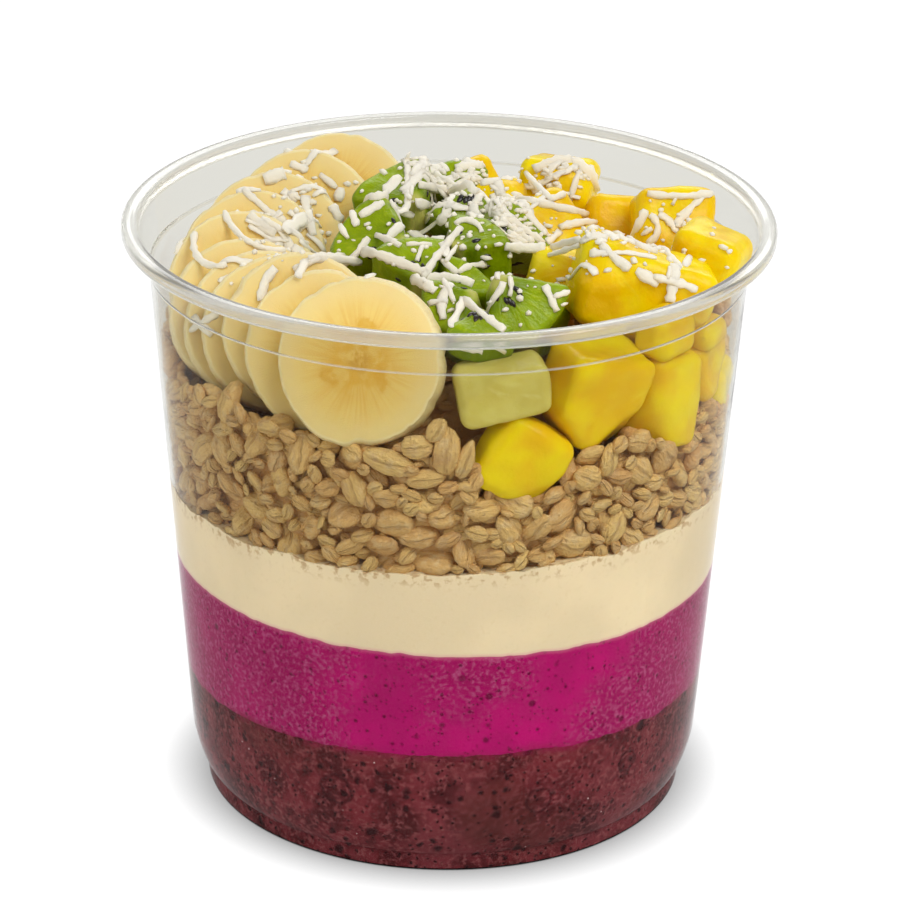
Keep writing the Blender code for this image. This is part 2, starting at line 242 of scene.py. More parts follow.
def copy_of(node, name):
    """A merged copy of a CAD node, with its flat faces whole again."""
    obj = bpy.data.objects.new(name, NODES[node].data.copy())
    bpy.context.scene.collection.objects.link(obj)
    obj.data.materials.clear()
    edit_all(obj)
    bpy.ops.mesh.remove_doubles(threshold=1e-5)
    bpy.ops.mesh.dissolve_limited(angle_limit=math.radians(1))
    bpy.ops.object.mode_set(mode="OBJECT")
    return obj


def joined(name, pieces):
    """Many small pieces as one object. Attributes of the same name carry over."""
    deselect()
    for piece in pieces:
        piece.select_set(True)
    bpy.context.view_layer.objects.active = pieces[0]
    bpy.ops.object.join()
    pieces[0].name = name
    return pieces[0]


def give(obj, material, node=None):
    """Finishes a piece: its material, body, and the CAD nodes that it stands for."""
    obj.data.materials.clear()
    obj.data.materials.append(material)
    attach(obj, "root")
    if node:
        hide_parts(node)


def ease(value, low, high):
    """0 below low, 1 above high, and a smooth rise between."""
    share = np.clip((np.asarray(value, float) - low) / (high - low), 0, 1)
    return share * share * (3 - 2 * share)


# ---- materials --------------------------------------------------------------------------------------

ACAI_BUBBLES = (
    ((-0.0182, -0.0425, 0.0165), 0.0031),
    ((0.0180, -0.0428, 0.0150), 0.0026),
    ((0.0335, -0.0320, 0.0180), 0.0022),
)


class Finish:
    """One material and the nodes in it."""

    def __init__(self, name):
        self.material = bpy.data.materials.new(name)
        self.material.use_nodes = True
        self.tree = self.material.node_tree
        self.shader = self.tree.nodes["Principled BSDF"]
        self.output = self.tree.nodes["Material Output"]

    def node(self, kind, settings=None, **inputs):
        made = self.tree.nodes.new("ShaderNode" + kind)
        for name, value in (settings or {}).items():
            setattr(made, name, value)
        for name, value in inputs.items():
            self.feed(made.inputs[name.replace("_", " ")], value)
        return made

    def feed(self, socket, value):
        if isinstance(value, bpy.types.NodeSocket):
            self.tree.links.new(value, socket)
        else:
            socket.default_value = value

    def set(self, **inputs):
        for name, value in inputs.items():
            self.feed(self.shader.inputs[name.replace("_", " ")], value)

    def position(self):
        return self.node("TexCoord").outputs["Object"]

    def attribute(self, name, output="Vector"):
        return self.node("Attribute", {"attribute_name": name}).outputs[output]

    def math(self, operation, first, second=0.0, clamp=False):
        made = self.node("Math", {"operation": operation, "use_clamp": clamp})
        self.feed(made.inputs[0], first)
        self.feed(made.inputs[1], second)
        return made.outputs[0]

    def spread(self, value, low, high, start=0.0, end=1.0):
        """Maps low..high to start..end, smoothly and clamped."""
        made = self.node("MapRange", {"interpolation_type": "SMOOTHSTEP"}, Value=value, From_Min=low,
                         From_Max=high, To_Min=start, To_Max=end)
        return made.outputs["Result"]

    def mix(self, share, first, second, blend="MIX"):
        made = self.node("Mix", {"data_type": "RGBA", "blend_type": blend})
        self.feed(made.inputs[0], share)
        self.feed(made.inputs[6], first)
        self.feed(made.inputs[7], second)
        return made.outputs[2]

    def noise(self, vector, scale, detail=3.0, roughness=0.5, distortion=0.0):
        made = self.node("TexNoise", Vector=vector, Scale=scale, Detail=detail, Roughness=roughness,
                         Distortion=distortion)
        return made.outputs["Fac"]

    def cells(self, vector, scale, feature="F1", output="Distance", randomness=1.0):
        made = self.node("TexVoronoi", {"feature": feature}, Vector=vector, Scale=scale,
                         Randomness=randomness)
        return made.outputs[output]

    def bump(self, height, strength, distance, normal=None):
        made = self.node("Bump", Height=height, Strength=strength, Distance=distance)
        if normal is not None:
            self.feed(made.inputs["Normal"], normal)
        return made.outputs["Normal"]

    def stretched(self, vector, scale=(1, 1, 1), turn=(0, 0, 0)):
        made = self.node("Mapping", Vector=vector, Scale=scale, Rotation=turn)
        return made.outputs["Vector"]


def scaled(colour, factor):
    return tuple(min(1.0, c * factor) for c in colour[:3]) + (1.0,)


def clear_plastic(name, colour, roughness, ior, coat, clear=1.0):
    """Thin glossy plastic that lets light through to the food."""
    finish = Finish(name)
    finish.set(Base_Color=colour, Roughness=roughness, IOR=ior, Transmission_Weight=clear, Coat_Weight=coat,
               Coat_Roughness=0.06, Coat_IOR=1.45)
    ripple = finish.noise(finish.position(), 60.0, detail=2.0)
    finish.set(Normal=finish.bump(ripple, 0.05, 0.002))
    through = finish.node("BsdfTransparent", Color=tint(249, 250, 250))
    shadow = finish.node("LightPath").outputs["Is Shadow Ray"]
    blend = finish.node("MixShader", Fac=shadow)
    finish.feed(blend.inputs[1], finish.shader.outputs["BSDF"])
    finish.feed(blend.inputs[2], through.outputs["BSDF"])
    finish.feed(finish.output.inputs["Surface"], blend.outputs["Shader"])
    return finish.material


def acai_finish(colour):
    """Dense frozen berry puree: mottled maroon, a pink grain, dark pores and a few bubble rims as painted shade, and
    ice specks as painted glints.
    """
    finish = Finish("acai_puree")
    where = finish.position()
    cloud = finish.noise(where, 150.0, detail=5.0, roughness=0.65)
    grain = finish.noise(where, 1100.0, detail=3.0, roughness=0.6)
    shade = finish.mix(finish.spread(cloud, 0.38, 0.62), scaled(colour, 0.4), colour)
    haze = finish.noise(where, 75.0, detail=4.0, roughness=0.6)
    shade = finish.mix(finish.spread(haze, 0.44, 0.66, 0.0, 0.5), shade, tint(126, 58, 66))
    shade = finish.mix(finish.spread(grain, 0.48, 0.66, 0.0, 0.6), shade, tint(150, 80, 84))
    warm = finish.noise(where, 60.0, detail=3.0)
    shade = finish.mix(finish.spread(warm, 0.5, 0.7, 0.0, 0.5), shade, tint(84, 34, 28))
    stir = finish.node("VectorMath", {"operation": "ADD"}, Vector=where).outputs["Vector"]
    jitter = finish.node("TexNoise", Vector=where, Scale=420.0, Detail=2.0).outputs["Color"]
    small = finish.node("VectorMath", {"operation": "SCALE"}, Vector=jitter, Scale=0.0016)
    finish.feed(stir.node.inputs[1], small.outputs["Vector"])
    # Painted shade: the pores are dark spots standing in for the shade inside air pockets at the wall; the same mask
    # also sinks them in the bump.
    dark = None
    for scale, share, reach in ((190.0, 0.6, 0.26), (380.0, 0.5, 0.3), (900.0, 0.45, 0.34)):
        pick = finish.node("SeparateColor", Color=finish.cells(stir, scale, output="Color")).outputs[0]
        hole = finish.math("MULTIPLY", finish.spread(finish.cells(stir, scale), reach, reach * 0.45),
                           finish.spread(pick, share, share + 0.06))
        dark = hole if dark is None else finish.math("MAXIMUM", dark, hole)
    shade = finish.mix(finish.math("MULTIPLY", dark, 0.85), shade, tint(34, 6, 12))
    # Painted shade: each bubble's rim is painted as a dark ring.
    for centre, size in ACAI_BUBBLES:
        apart = finish.node("VectorMath", {"operation": "DISTANCE"}, Vector=stir)
        apart.inputs[1].default_value = centre
        distance = apart.outputs["Value"]
        ring = finish.math("MULTIPLY", finish.spread(distance, size * 0.72, size * 0.9),
                           finish.spread(distance, size * 1.12, size * 0.95))
        shade = finish.mix(finish.math("MULTIPLY", ring, 0.6), shade, tint(46, 8, 16))
    # Painted highlights: rare pale specks standing in for glints off ice.
    painted_glint = finish.spread(finish.cells(where, 700.0), 0.13, 0.07)
    seldom = finish.node("SeparateColor", Color=finish.cells(where, 700.0, output="Color")).outputs[1]
    painted_glint = finish.math("MULTIPLY", painted_glint, finish.spread(seldom, 0.955, 0.97))
    shade = finish.mix(painted_glint, shade, tint(226, 200, 200))
    edge = finish.attribute("below_top", "Fac")
    stain = finish.math("MULTIPLY", finish.spread(edge, 0.0016, 0.0), finish.spread(cloud, 0.4, 0.6))
    shade = finish.mix(finish.math("MULTIPLY", stain, 0.7), shade, tint(140, 10, 66))
    height = finish.math("SUBTRACT", grain, finish.math("MULTIPLY", dark, 1.2))
    finish.set(Base_Color=shade, Roughness=0.5, Specular_IOR_Level=0.1, Subsurface_Weight=0.05,
               Subsurface_Scale=0.001, Normal=finish.bump(height, 0.5, 0.0006))
    finish.shader.inputs["Subsurface Radius"].default_value = (1.0, 0.3, 0.3)
    return finish.material


def pitaya_finish(colour):
    """Frozen pink fruit: magenta, cloudy, with drifts of pale grain and dark seeds, and painted shade darker towards
    the left and right of the cup.
    """
    finish = Finish("pitaya_puree")
    where = finish.position()
    cloud = finish.noise(where, 60.0, detail=4.0, roughness=0.6)
    grain = finish.noise(where, 1300.0, detail=3.0, roughness=0.6)
    drift = finish.noise(where, 38.0, detail=3.0, roughness=0.55)
    shade = finish.mix(finish.spread(cloud, 0.36, 0.66), scaled(colour, 0.8), scaled(colour, 1.1))
    # Painted shade: darker towards the cup's left and right, where the layer curves away from the front; the pale
    # grain is mixed in more there too.
    sideways = finish.node("SeparateXYZ", Vector=where).outputs[0]
    apart = finish.spread(finish.math("ABSOLUTE", finish.math("SUBTRACT", sideways, 0.004)), 0.014, 0.034)
    drift_and_side_shade = finish.math("ADD", drift, finish.math("MULTIPLY", apart, 0.2))
    shade = finish.mix(finish.spread(drift_and_side_shade, 0.46, 0.72, 0.0, 0.5), shade, tint(128, 10, 66))
    frost = finish.math("MULTIPLY", finish.spread(grain, 0.46, 0.66),
                        finish.spread(drift_and_side_shade, 0.46, 0.68, 0.0, 0.75))
    shade = finish.mix(frost, shade, tint(180, 80, 130))
    vein = finish.noise(where, 260.0, detail=4.0, roughness=0.7)
    shade = finish.mix(finish.spread(vein, 0.56, 0.7, 0.0, 0.4), shade, tint(146, 0, 80))
    dark = None
    for scale, share, reach in ((250.0, 0.76, 0.22), (600.0, 0.62, 0.28), (1300.0, 0.55, 0.32)):
        pick = finish.node("SeparateColor", Color=finish.cells(where, scale, output="Color")).outputs[0]
        hole = finish.math("MULTIPLY", finish.spread(finish.cells(where, scale), reach, reach * 0.45),
                           finish.spread(pick, share, share + 0.06))
        dark = hole if dark is None else finish.math("MAXIMUM", dark, hole)
    shade = finish.mix(finish.math("MULTIPLY", dark, 0.75), shade, tint(84, 0, 40))
    top = finish.spread(finish.attribute("below_top", "Fac"), 0.0009, 0.0)
    shade = finish.mix(finish.math("MULTIPLY", top, 0.4), shade, tint(216, 120, 150))
    low = finish.math("MULTIPLY", finish.spread(finish.attribute("above_base", "Fac"), 0.0016, 0.0),
                      finish.spread(cloud, 0.4, 0.6))
    shade = finish.mix(finish.math("MULTIPLY", low, 0.6), shade, tint(128, 30, 60))
    height = finish.math("SUBTRACT", grain, dark)
    finish.set(Base_Color=shade, Roughness=0.5, Specular_IOR_Level=0.1, Subsurface_Weight=0.06,
               Subsurface_Scale=0.001, Normal=finish.bump(height, 0.4, 0.0005))
    finish.shader.inputs["Subsurface Radius"].default_value = (1.0, 0.2, 0.5)
    return finish.material


def cream_finish(colour):
    """Smooth ivory cream with a faint mottle."""
    finish = Finish("smooth_cream")
    where = finish.position()
    cloud = finish.noise(where, 45.0, detail=4.0)
    shade = finish.mix(finish.spread(cloud, 0.35, 0.7), scaled(colour, 0.93), scaled(colour, 1.04))
    grain = finish.noise(where, 1300.0, detail=2.0)
    shade = finish.mix(finish.spread(grain, 0.55, 0.75, 0.0, 0.12), shade, tint(206, 180, 136))
    dust = finish.noise(where, 700.0, detail=3.0, roughness=0.6)
    crumb = finish.math("MULTIPLY", finish.spread(finish.attribute("below_top", "Fac"), 0.0035, 0.0),
                        finish.spread(dust, 0.5, 0.64))
    shade = finish.mix(finish.math("MULTIPLY", crumb, 0.75), shade, tint(178, 136, 88))
    low = finish.spread(finish.attribute("above_base", "Fac"), 0.0008, 0.0)
    shade = finish.mix(finish.math("MULTIPLY", low, 0.5), shade, tint(228, 150, 160))
    finish.set(Base_Color=shade, Roughness=0.5, Specular_IOR_Level=0.15, Subsurface_Weight=0.2,
               Subsurface_Scale=0.003, Normal=finish.bump(grain, 0.12, 0.0003))
    finish.shader.inputs["Subsurface Radius"].default_value = (1.0, 0.7, 0.4)
    return finish.material


def oat_finish(colour):
    """Toasted oats: each flake has its own tone and a crease and ridges along it; painted shade darkens the crease,
    the grooves between the ridges, and the flake's edge and dents.
    """
    finish = Finish("toasted_oats")
    where = finish.position()
    tone = finish.attribute("tone", "Fac")
    hollow = finish.attribute("hollow", "Fac")
    parts = finish.node("SeparateXYZ", Vector=finish.attribute("flake"))
    along, across = parts.outputs[0], parts.outputs[1]
    number = finish.math("MULTIPLY", tone, 37.0)
    slow = finish.node("CombineXYZ", X=finish.math("MULTIPLY", along, 1.1), Z=number).outputs[0]
    sway = finish.math("MULTIPLY", finish.math("SUBTRACT", finish.noise(slow, 1.0, detail=1.0), 0.5), 0.9)
    beside = finish.math("ABSOLUTE", finish.math("ADD", across, sway))
    crease = finish.math("MULTIPLY", finish.spread(beside, 0.17, 0.02),
                         finish.spread(finish.math("ABSOLUTE", along), 0.95, 0.6))
    ridged = finish.node("CombineXYZ", X=along, Y=finish.math("MULTIPLY", across, 3.6), Z=number).outputs[0]
    ridge = finish.noise(ridged, 1.6, detail=2.0, roughness=0.5)
    shade = finish.mix(tone, scaled(colour, 0.86), scaled(colour, 1.16))
    patch = finish.noise(where, 520.0, detail=5.0, roughness=0.65)
    shade = finish.mix(finish.spread(patch, 0.46, 0.66, 0.0, 0.6), shade, tint(248, 220, 170))
    brown = finish.noise(where, 260.0, detail=4.0, roughness=0.65)
    shade = finish.mix(finish.spread(brown, 0.52, 0.72, 0.0, 0.35), shade, tint(200, 132, 66))
    # Painted shade: darker in the grooves between the ridges, along the crease, and where the painted shade
    # attribute marks the flake's edges and dents.
    shade = finish.mix(finish.spread(ridge, 0.5, 0.36, 0.0, 0.2), shade, tint(186, 128, 70))
    shade = finish.mix(finish.math("MULTIPLY", crease, 0.25), shade, tint(172, 114, 60))
    shade = finish.mix(finish.math("MULTIPLY", hollow, 0.45), shade, tint(160, 102, 52))
    lumps = finish.noise(where, 1100.0, detail=4.0, roughness=0.6)
    height = finish.math("SUBTRACT", finish.math("ADD", lumps, finish.math("MULTIPLY", ridge, 0.6)),
                         finish.math("MULTIPLY", crease, 0.4))
    finish.set(Base_Color=shade, Roughness=0.45, Specular_IOR_Level=0.35,
               Normal=finish.bump(height, 1.0, 0.0007))
    return finish.material


def banana_finish(colour):
    """A cut banana face: pale rim, fine rays, and a golden three-part core. Sides are pale and fibrous."""
    finish = Finish("banana_flesh")
    disc = finish.attribute("disc")
    parts = finish.node("SeparateXYZ", Vector=disc)
    across, up, depth = parts.outputs[0], parts.outputs[1], parts.outputs[2]
    flat = finish.node("CombineXYZ", X=across, Y=up).outputs[0]
    radius = finish.node("VectorMath", {"operation": "LENGTH"}, Vector=flat).outputs["Value"]
    angle = finish.math("ARCTAN2", up, across)
    way = finish.node("VectorMath", {"operation": "NORMALIZE"}, Vector=flat).outputs["Vector"]
    seed = finish.attribute("piece", "Fac")
    lift = finish.node("CombineXYZ", Z=finish.math("MULTIPLY", seed, 7.0)).outputs[0]
    around = finish.node("VectorMath", {"operation": "ADD"}, Vector=way).outputs["Vector"]
    finish.feed(around.node.inputs[1], lift)
    cloudy = finish.node("VectorMath", {"operation": "ADD"}, Vector=disc).outputs["Vector"]
    finish.feed(cloudy.node.inputs[1], lift)
    rays = finish.noise(around, 16.0, detail=2.0, roughness=0.55)
    cloud = finish.noise(cloudy, 3.2, detail=4.0)
    shade = finish.mix(finish.spread(cloud, 0.35, 0.7, 0.0, 0.5), colour, tint(244, 206, 112))
    shade = finish.mix(finish.spread(radius, 0.55, 0.95, 0.0, 0.5), shade, tint(244, 224, 168))
    rayed = finish.math("MULTIPLY", finish.spread(rays, 0.42, 0.66),
                        finish.math("MULTIPLY", finish.spread(radius, 0.1, 0.3),
                                    finish.spread(radius, 0.85, 0.45)))
    shade = finish.mix(finish.math("MULTIPLY", rayed, 0.35), shade, tint(232, 176, 66))
    blot = finish.noise(cloudy, 6.0, detail=3.0, roughness=0.6)
    bend = finish.math("ADD", radius, finish.math("MULTIPLY", finish.math("SUBTRACT", blot, 0.5), 0.5))
    gold = finish.math("MULTIPLY", finish.spread(bend, 0.62, 0.25), finish.spread(blot, 0.36, 0.6, 0.4, 1.0))
    shade = finish.mix(finish.math("MULTIPLY", gold, 0.75), shade, tint(230, 174, 34))
    lobe = finish.math("COSINE", finish.math("ADD", finish.math("MULTIPLY", angle, 3.0),
                                             finish.math("MULTIPLY", cloud, 3.0)))
    pod = finish.math("MULTIPLY", finish.spread(lobe, 0.1, 0.9),
                      finish.math("MULTIPLY", finish.spread(bend, 0.24, 0.36), finish.spread(bend, 0.5, 0.4)))
    shade = finish.mix(finish.math("MULTIPLY", pod, 0.5), shade, tint(224, 166, 24))
    heart = finish.math("MULTIPLY", finish.spread(bend, 0.2, 0.08), finish.spread(blot, 0.4, 0.56))
    shade = finish.mix(finish.math("MULTIPLY", heart, 0.5), shade, tint(196, 140, 44))
    rim = finish.spread(radius, 0.93, 0.985)
    shade = finish.mix(finish.math("MULTIPLY", rim, 0.6), shade, tint(250, 234, 186))
    side = finish.node("CombineXYZ", X=finish.math("MULTIPLY", angle, 9.0),
                       Y=finish.math("MULTIPLY", depth, 1.4), Z=seed).outputs[0]
    fibre = finish.noise(side, 2.4, detail=3.0)
    on_side = finish.spread(radius, 0.975, 0.995)
    shade = finish.mix(finish.math("MULTIPLY", on_side, finish.spread(fibre, 0.4, 0.7, 0.0, 0.4)),
                       shade, tint(232, 204, 132))
    grain = finish.noise(disc, 60.0, detail=3.0, roughness=0.6)
    height = finish.math("ADD", finish.math("MULTIPLY", rays, 0.5), grain)
    finish.set(Base_Color=shade, Roughness=0.42, Specular_IOR_Level=0.3, Subsurface_Weight=0.25,
               Subsurface_Scale=0.003, Normal=finish.bump(height, 0.3, 0.0004))
    finish.shader.inputs["Subsurface Radius"].default_value = (1.0, 0.75, 0.3)
    return finish.material


def kiwi_finish(colour):
    """Kiwi flesh: pale core, a darker seeded ring, and bright flesh with light rays."""
    finish = Finish("kiwi_flesh")
    wedge = finish.attribute("wedge")
    parts = finish.node("SeparateXYZ", Vector=wedge)
    flat = finish.node("CombineXYZ", X=parts.outputs[0], Y=parts.outputs[1]).outputs[0]
    radius = finish.node("VectorMath", {"operation": "LENGTH"}, Vector=flat).outputs["Value"]
    way = finish.node("VectorMath", {"operation": "NORMALIZE"}, Vector=flat).outputs["Vector"]
    seed = finish.attribute("piece", "Fac")
    lift = finish.node("CombineXYZ", X=finish.math("MULTIPLY", radius, 0.5),
                       Z=finish.math("ADD", finish.math("MULTIPLY", seed, 9.0),
                                     finish.math("MULTIPLY", parts.outputs[2], 0.25))).outputs[0]
    around = finish.node("VectorMath", {"operation": "ADD"}, Vector=way).outputs["Vector"]
    finish.feed(around.node.inputs[1], lift)
    rays = finish.noise(around, 9.0, detail=2.0, roughness=0.5)
    where = finish.position()
    cloud = finish.noise(where, 160.0, detail=4.0)
    shade = finish.mix(finish.spread(cloud, 0.35, 0.7), scaled(colour, 0.8), scaled(colour, 1.05))
    shade = finish.mix(finish.spread(rays, 0.5, 0.72, 0.0, 0.45), shade, tint(184, 196, 40))
    ring = finish.math("MULTIPLY", finish.spread(radius, 0.2, 0.3), finish.spread(radius, 0.62, 0.4))
    shade = finish.mix(finish.math("MULTIPLY", ring, 0.5), shade, tint(92, 118, 8))
    core = finish.spread(radius, 0.26, 0.12)
    shade = finish.mix(finish.math("MULTIPLY", core, 0.8), shade, tint(196, 190, 104))
    skin = finish.spread(radius, 0.93, 1.0)
    shade = finish.mix(finish.math("MULTIPLY", skin, 0.5), shade, tint(104, 128, 22))
    grain = finish.noise(where, 1500.0, detail=3.0, roughness=0.6)
    height = finish.math("ADD", finish.math("MULTIPLY", rays, 1.5), grain)
    finish.set(Base_Color=shade, Roughness=0.28, Specular_IOR_Level=0.22, Subsurface_Weight=0.25,
               Subsurface_Scale=0.003, Normal=finish.bump(height, 0.3, 0.0005))
    finish.shader.inputs["Subsurface Radius"].default_value = (0.6, 1.0, 0.15)
    return finish.material


def juicy_finish(name, colour, deep, pale, radius):
    """Wet cut flesh with a soft glow, faint fibres and pale patches."""
    finish = Finish(name)
    grain_way = finish.attribute("grain")
    where = finish.position()
    cloud = finish.noise(where, 110.0, detail=4.0, roughness=0.55)
    shade = finish.mix(finish.spread(cloud, 0.34, 0.68), deep, colour)
    fibre = finish.noise(finish.stretched(grain_way, (240.0, 60.0, 900.0)), 1.0, detail=4.0,
                         roughness=0.6)
    shade = finish.mix(finish.spread(fibre, 0.52, 0.78, 0.0, 0.45), shade, pale)
    patch = finish.noise(where, 55.0, detail=3.0)
    shade = finish.mix(finish.spread(patch, 0.6, 0.75, 0.0, 0.45), shade, pale)
    grain = finish.noise(where, 1400.0, detail=3.0, roughness=0.6)
    height = finish.math("ADD", finish.math("MULTIPLY", fibre, 0.5), grain)
    finish.set(Base_Color=shade, Roughness=0.24, Specular_IOR_Level=0.2, Subsurface_Weight=0.35,
               Subsurface_Scale=0.003, Normal=finish.bump(height, 0.3, 0.0003))
    finish.shader.inputs["Subsurface Radius"].default_value = radius
    return finish.material


def coconut_finish(colour):
    """Dry white coconut with fine fibres along each shred."""
    finish = Finish("coconut")
    where = finish.position()
    tone = finish.attribute("tone", "Fac")
    shade = finish.mix(tone, scaled(colour, 0.94), scaled(colour, 1.02))
    patch = finish.noise(where, 500.0, detail=3.0)
    shade = finish.mix(finish.spread(patch, 0.5, 0.8, 0.0, 0.2), shade, tint(244, 228, 194))
    grain = finish.noise(where, 3000.0, detail=3.0, roughness=0.6)
    finish.set(Base_Color=shade, Roughness=0.55, Specular_IOR_Level=0.3, Subsurface_Weight=0.2,
               Subsurface_Scale=0.001, Normal=finish.bump(grain, 0.4, 0.0002))
    finish.shader.inputs["Subsurface Radius"].default_value = (1.0, 0.9, 0.7)
    return finish.material


def seed_finish():
    """Black glossy kiwi seeds with a brown cast."""
    finish = Finish("kiwi_seed")
    cloud = finish.noise(finish.position(), 900.0, detail=2.0)
    shade = finish.mix(finish.spread(cloud, 0.4, 0.7), tint(22, 16, 14), tint(52, 38, 30))
    finish.set(Base_Color=shade, Roughness=0.25)
    return finish.material


def floor_finish(colour):
    """Plain white floor that glows evenly, but for a painted contact shadow where ambient occlusion dims the glow.
    """
    finish = Finish("pale_floor")
    # Painted contact shadow: ambient occlusion dims the glow right next to what stands on the floor.
    painted_contact_shadow = finish.node("AmbientOcclusion", {"samples": 12}, Distance=0.009).outputs["AO"]
    glow = finish.math("POWER", painted_contact_shadow, 0.9)
    finish.set(Base_Color=colour, Roughness=0.8, Specular_IOR_Level=0.1, Emission_Color=tint(255, 255, 255),
               Emission_Strength=finish.math("MULTIPLY", glow, 1.0))
    return finish.material


# ---- the cup ----------------------------------------------------------------------------------------

FOOT_RADIUS = 44.0 * MM
FOOT_HEIGHT = 3.5 * MM
BASE_RECESS = 2.0 * MM
SHOULDER_Z = 11.0 * MM
SHOULDER_RADIUS = 46.8 * MM
LEDGE_Z = 99.7 * MM
LEDGE_RADIUS = 53.6 * MM
NECK_RADIUS = 56.0 * MM
LIP_Z = 106.2 * MM
REACH = 0.25 * MM      # how far the food reaches into the plastic, so that no air shows between them


def arc(centre, radius, start, end, steps):
    """Points of an arc in the (radius, z) plane, from one angle in degrees to another."""
    points = []
    for i in range(steps + 1):
        angle = math.radians(start + (end - start) * i / steps)
        points.append((centre[0] + radius * math.cos(angle), centre[1] + radius * math.sin(angle)))
    return points


def shoulder(steps=10):
    """The rounded outside between the foot and the straight wall, as (radius, z)."""
    start = Vector((FOOT_RADIUS + 0.3 * MM, FOOT_HEIGHT + 0.1 * MM))
    control = Vector((SHOULDER_RADIUS - 0.9 * MM, FOOT_HEIGHT + 2.6 * MM))
    end = Vector((SHOULDER_RADIUS, SHOULDER_Z))
    points = []
    for i in range(steps + 1):
        t = i / steps
        point = start * (1 - t) ** 2 + control * 2 * t * (1 - t) + end * t * t
        points.append((point.x, point.y))
    return points


def wall_outline():
    """The outside of the wall from the foot to the lip, as (radius, z)."""
    foot = arc((FOOT_RADIUS - 0.7 * MM, 0.7 * MM), 0.7 * MM, -90, 0, 5)
    foot += [(FOOT_RADIUS, FOOT_HEIGHT - 0.3 * MM), (FOOT_RADIUS - 0.15 * MM, FOOT_HEIGHT)]
    straight = []
    for i in range(1, 12):
        share = i / 12
        straight.append((SHOULDER_RADIUS + share * (LEDGE_RADIUS - SHOULDER_RADIUS),
                         SHOULDER_Z + share * (LEDGE_Z - SHOULDER_Z)))
    ledge = [
        (LEDGE_RADIUS - 0.02 * MM, LEDGE_Z - 0.3 * MM),
        (LEDGE_RADIUS + 0.08 * MM, LEDGE_Z + 0.05 * MM),
        (LEDGE_RADIUS + 0.32 * MM, LEDGE_Z + 0.45 * MM),
        (LEDGE_RADIUS + 0.5 * MM, LEDGE_Z + 0.9 * MM),
        (LEDGE_RADIUS + 1.1 * MM, LEDGE_Z + 2.8 * MM),
        (NECK_RADIUS - 0.45 * MM, LIP_Z - 1.1 * MM),
        (NECK_RADIUS - 0.1 * MM, LIP_Z - 0.25 * MM),
    ]
    return foot + shoulder() + straight + ledge


OUTLINE = wall_outline()


def wall_radius(z, inset):
    """Radius of the cup's outside at height z, less the inset."""
    heights = [p[1] for p in OUTLINE]
    radii = [p[0] for p in OUTLINE]
    return np.interp(z, heights, radii) - inset


def cup_profile(wall):
    """The whole section of the cup, from the axis under the base, round the lip, to the axis inside."""
    under = [
        (0.0, BASE_RECESS),
        (FOOT_RADIUS - 5.1 * MM, BASE_RECESS),
        (FOOT_RADIUS - 4.7 * MM, BASE_RECESS - 0.25 * MM),
        (FOOT_RADIUS - 3.9 * MM, 0.2 * MM),
        (FOOT_RADIUS - 3.5 * MM, 0.0),
    ]
    top = CUP_HEIGHT
    bead = 0.95 * MM
    lip = [(NECK_RADIUS + 0.35 * MM, LIP_Z), (RIM_RADIUS - 0.7 * MM, LIP_Z - 0.02 * MM)]
    lip += arc((RIM_RADIUS - 0.6 * MM, LIP_Z + 0.6 * MM), 0.6 * MM, -80, 0, 5)
    lip += arc((RIM_RADIUS - bead, top - 0.12 * MM - bead), bead, 0, 78, 8)
    lip += [(RIM_RADIUS - 1.2 * MM, top), (NECK_RADIUS + 0.6 * MM, top - 0.02 * MM)]
    lip += arc((NECK_RADIUS + 0.3 * MM, top - 0.8 * MM), 0.7 * MM, 80, 170, 6)
    inside = [(r - wall, z) for r, z in reversed(OUTLINE) if z > FOOT_HEIGHT]
    inside += [
        (FOOT_RADIUS - wall, FOOT_HEIGHT - 0.2 * MM),
        (FOOT_RADIUS - wall, wall + 0.5 * MM),
        (FOOT_RADIUS - wall - 0.4 * MM, wall),
        (FOOT_RADIUS - 3.4 * MM, wall),
        (FOOT_RADIUS - 4.6 * MM, BASE_RECESS + wall),
        (0.0, BASE_RECESS + wall),
    ]
    return under + OUTLINE + lip + inside


class ACAIBOWL_OT_cup(bpy.types.Operator):
    """Turns the clear cup, with its foot ring, stacking ledge and rolled lip"""
    bl_idname = "acai_bowl.cup"
    bl_label = "Clear Cup"

    def execute(self, context):
        settings = context.scene.bowl_cup
        cup = spun("clear_cup", cup_profile(settings.wall), settings.steps)
        smooth(cup, 35.0)
        give(cup, clear_plastic("clear_plastic", settings.colour, 0.04, 1.09, 0.04), "cup")
        cup.data.materials.append(clear_plastic("clear_rim", settings.colour, 0.25, 1.25, 0.6, 0.74))
        for polygon in cup.data.polygons:
            height = polygon.center.z
            in_ledge = LEDGE_Z < height < LEDGE_Z + 0.6 * MM
            polygon.material_index = int(height > LIP_Z - 0.2 * MM or in_ledge)
        return {"FINISHED"}


# ---- the smooth layers --------------------------------------------------------------------------------

def wave(azimuth, share, seed, height):
    """A slow unevenness of a layer's surface, strongest at the wall."""
    swing = math.sin(2 * azimuth + seed) + 0.6 * math.sin(3 * azimuth + 2.1 * seed)
    return height * share * swing / 1.6


def ragged(azimuth, share, seed, height):
    """The small unevenness of a poured edge."""
    place = Vector((math.sin(azimuth), math.cos(azimuth), 0.0)) * 9.0 + Vector((0, 0, seed))
    return height * share * noise.fractal(place, 0.6, 2.1, 4)


def acai_level(azimuth, share):
    top = bpy.context.scene.bowl_layers.acai_top
    slope = 1.0 * MM * share * math.cos(azimuth)
    return top + slope + wave(azimuth, share, 1.0, 0.4 * MM) + ragged(azimuth, share, 3.0, 0.4 * MM)


def pitaya_level(azimuth, share):
    top = bpy.context.scene.bowl_layers.pitaya_top
    slope = -0.7 * MM * share * math.sin(azimuth)
    return top + slope + wave(azimuth, share, 4.0, 0.3 * MM) + ragged(azimuth, share, 8.0, 0.3 * MM)


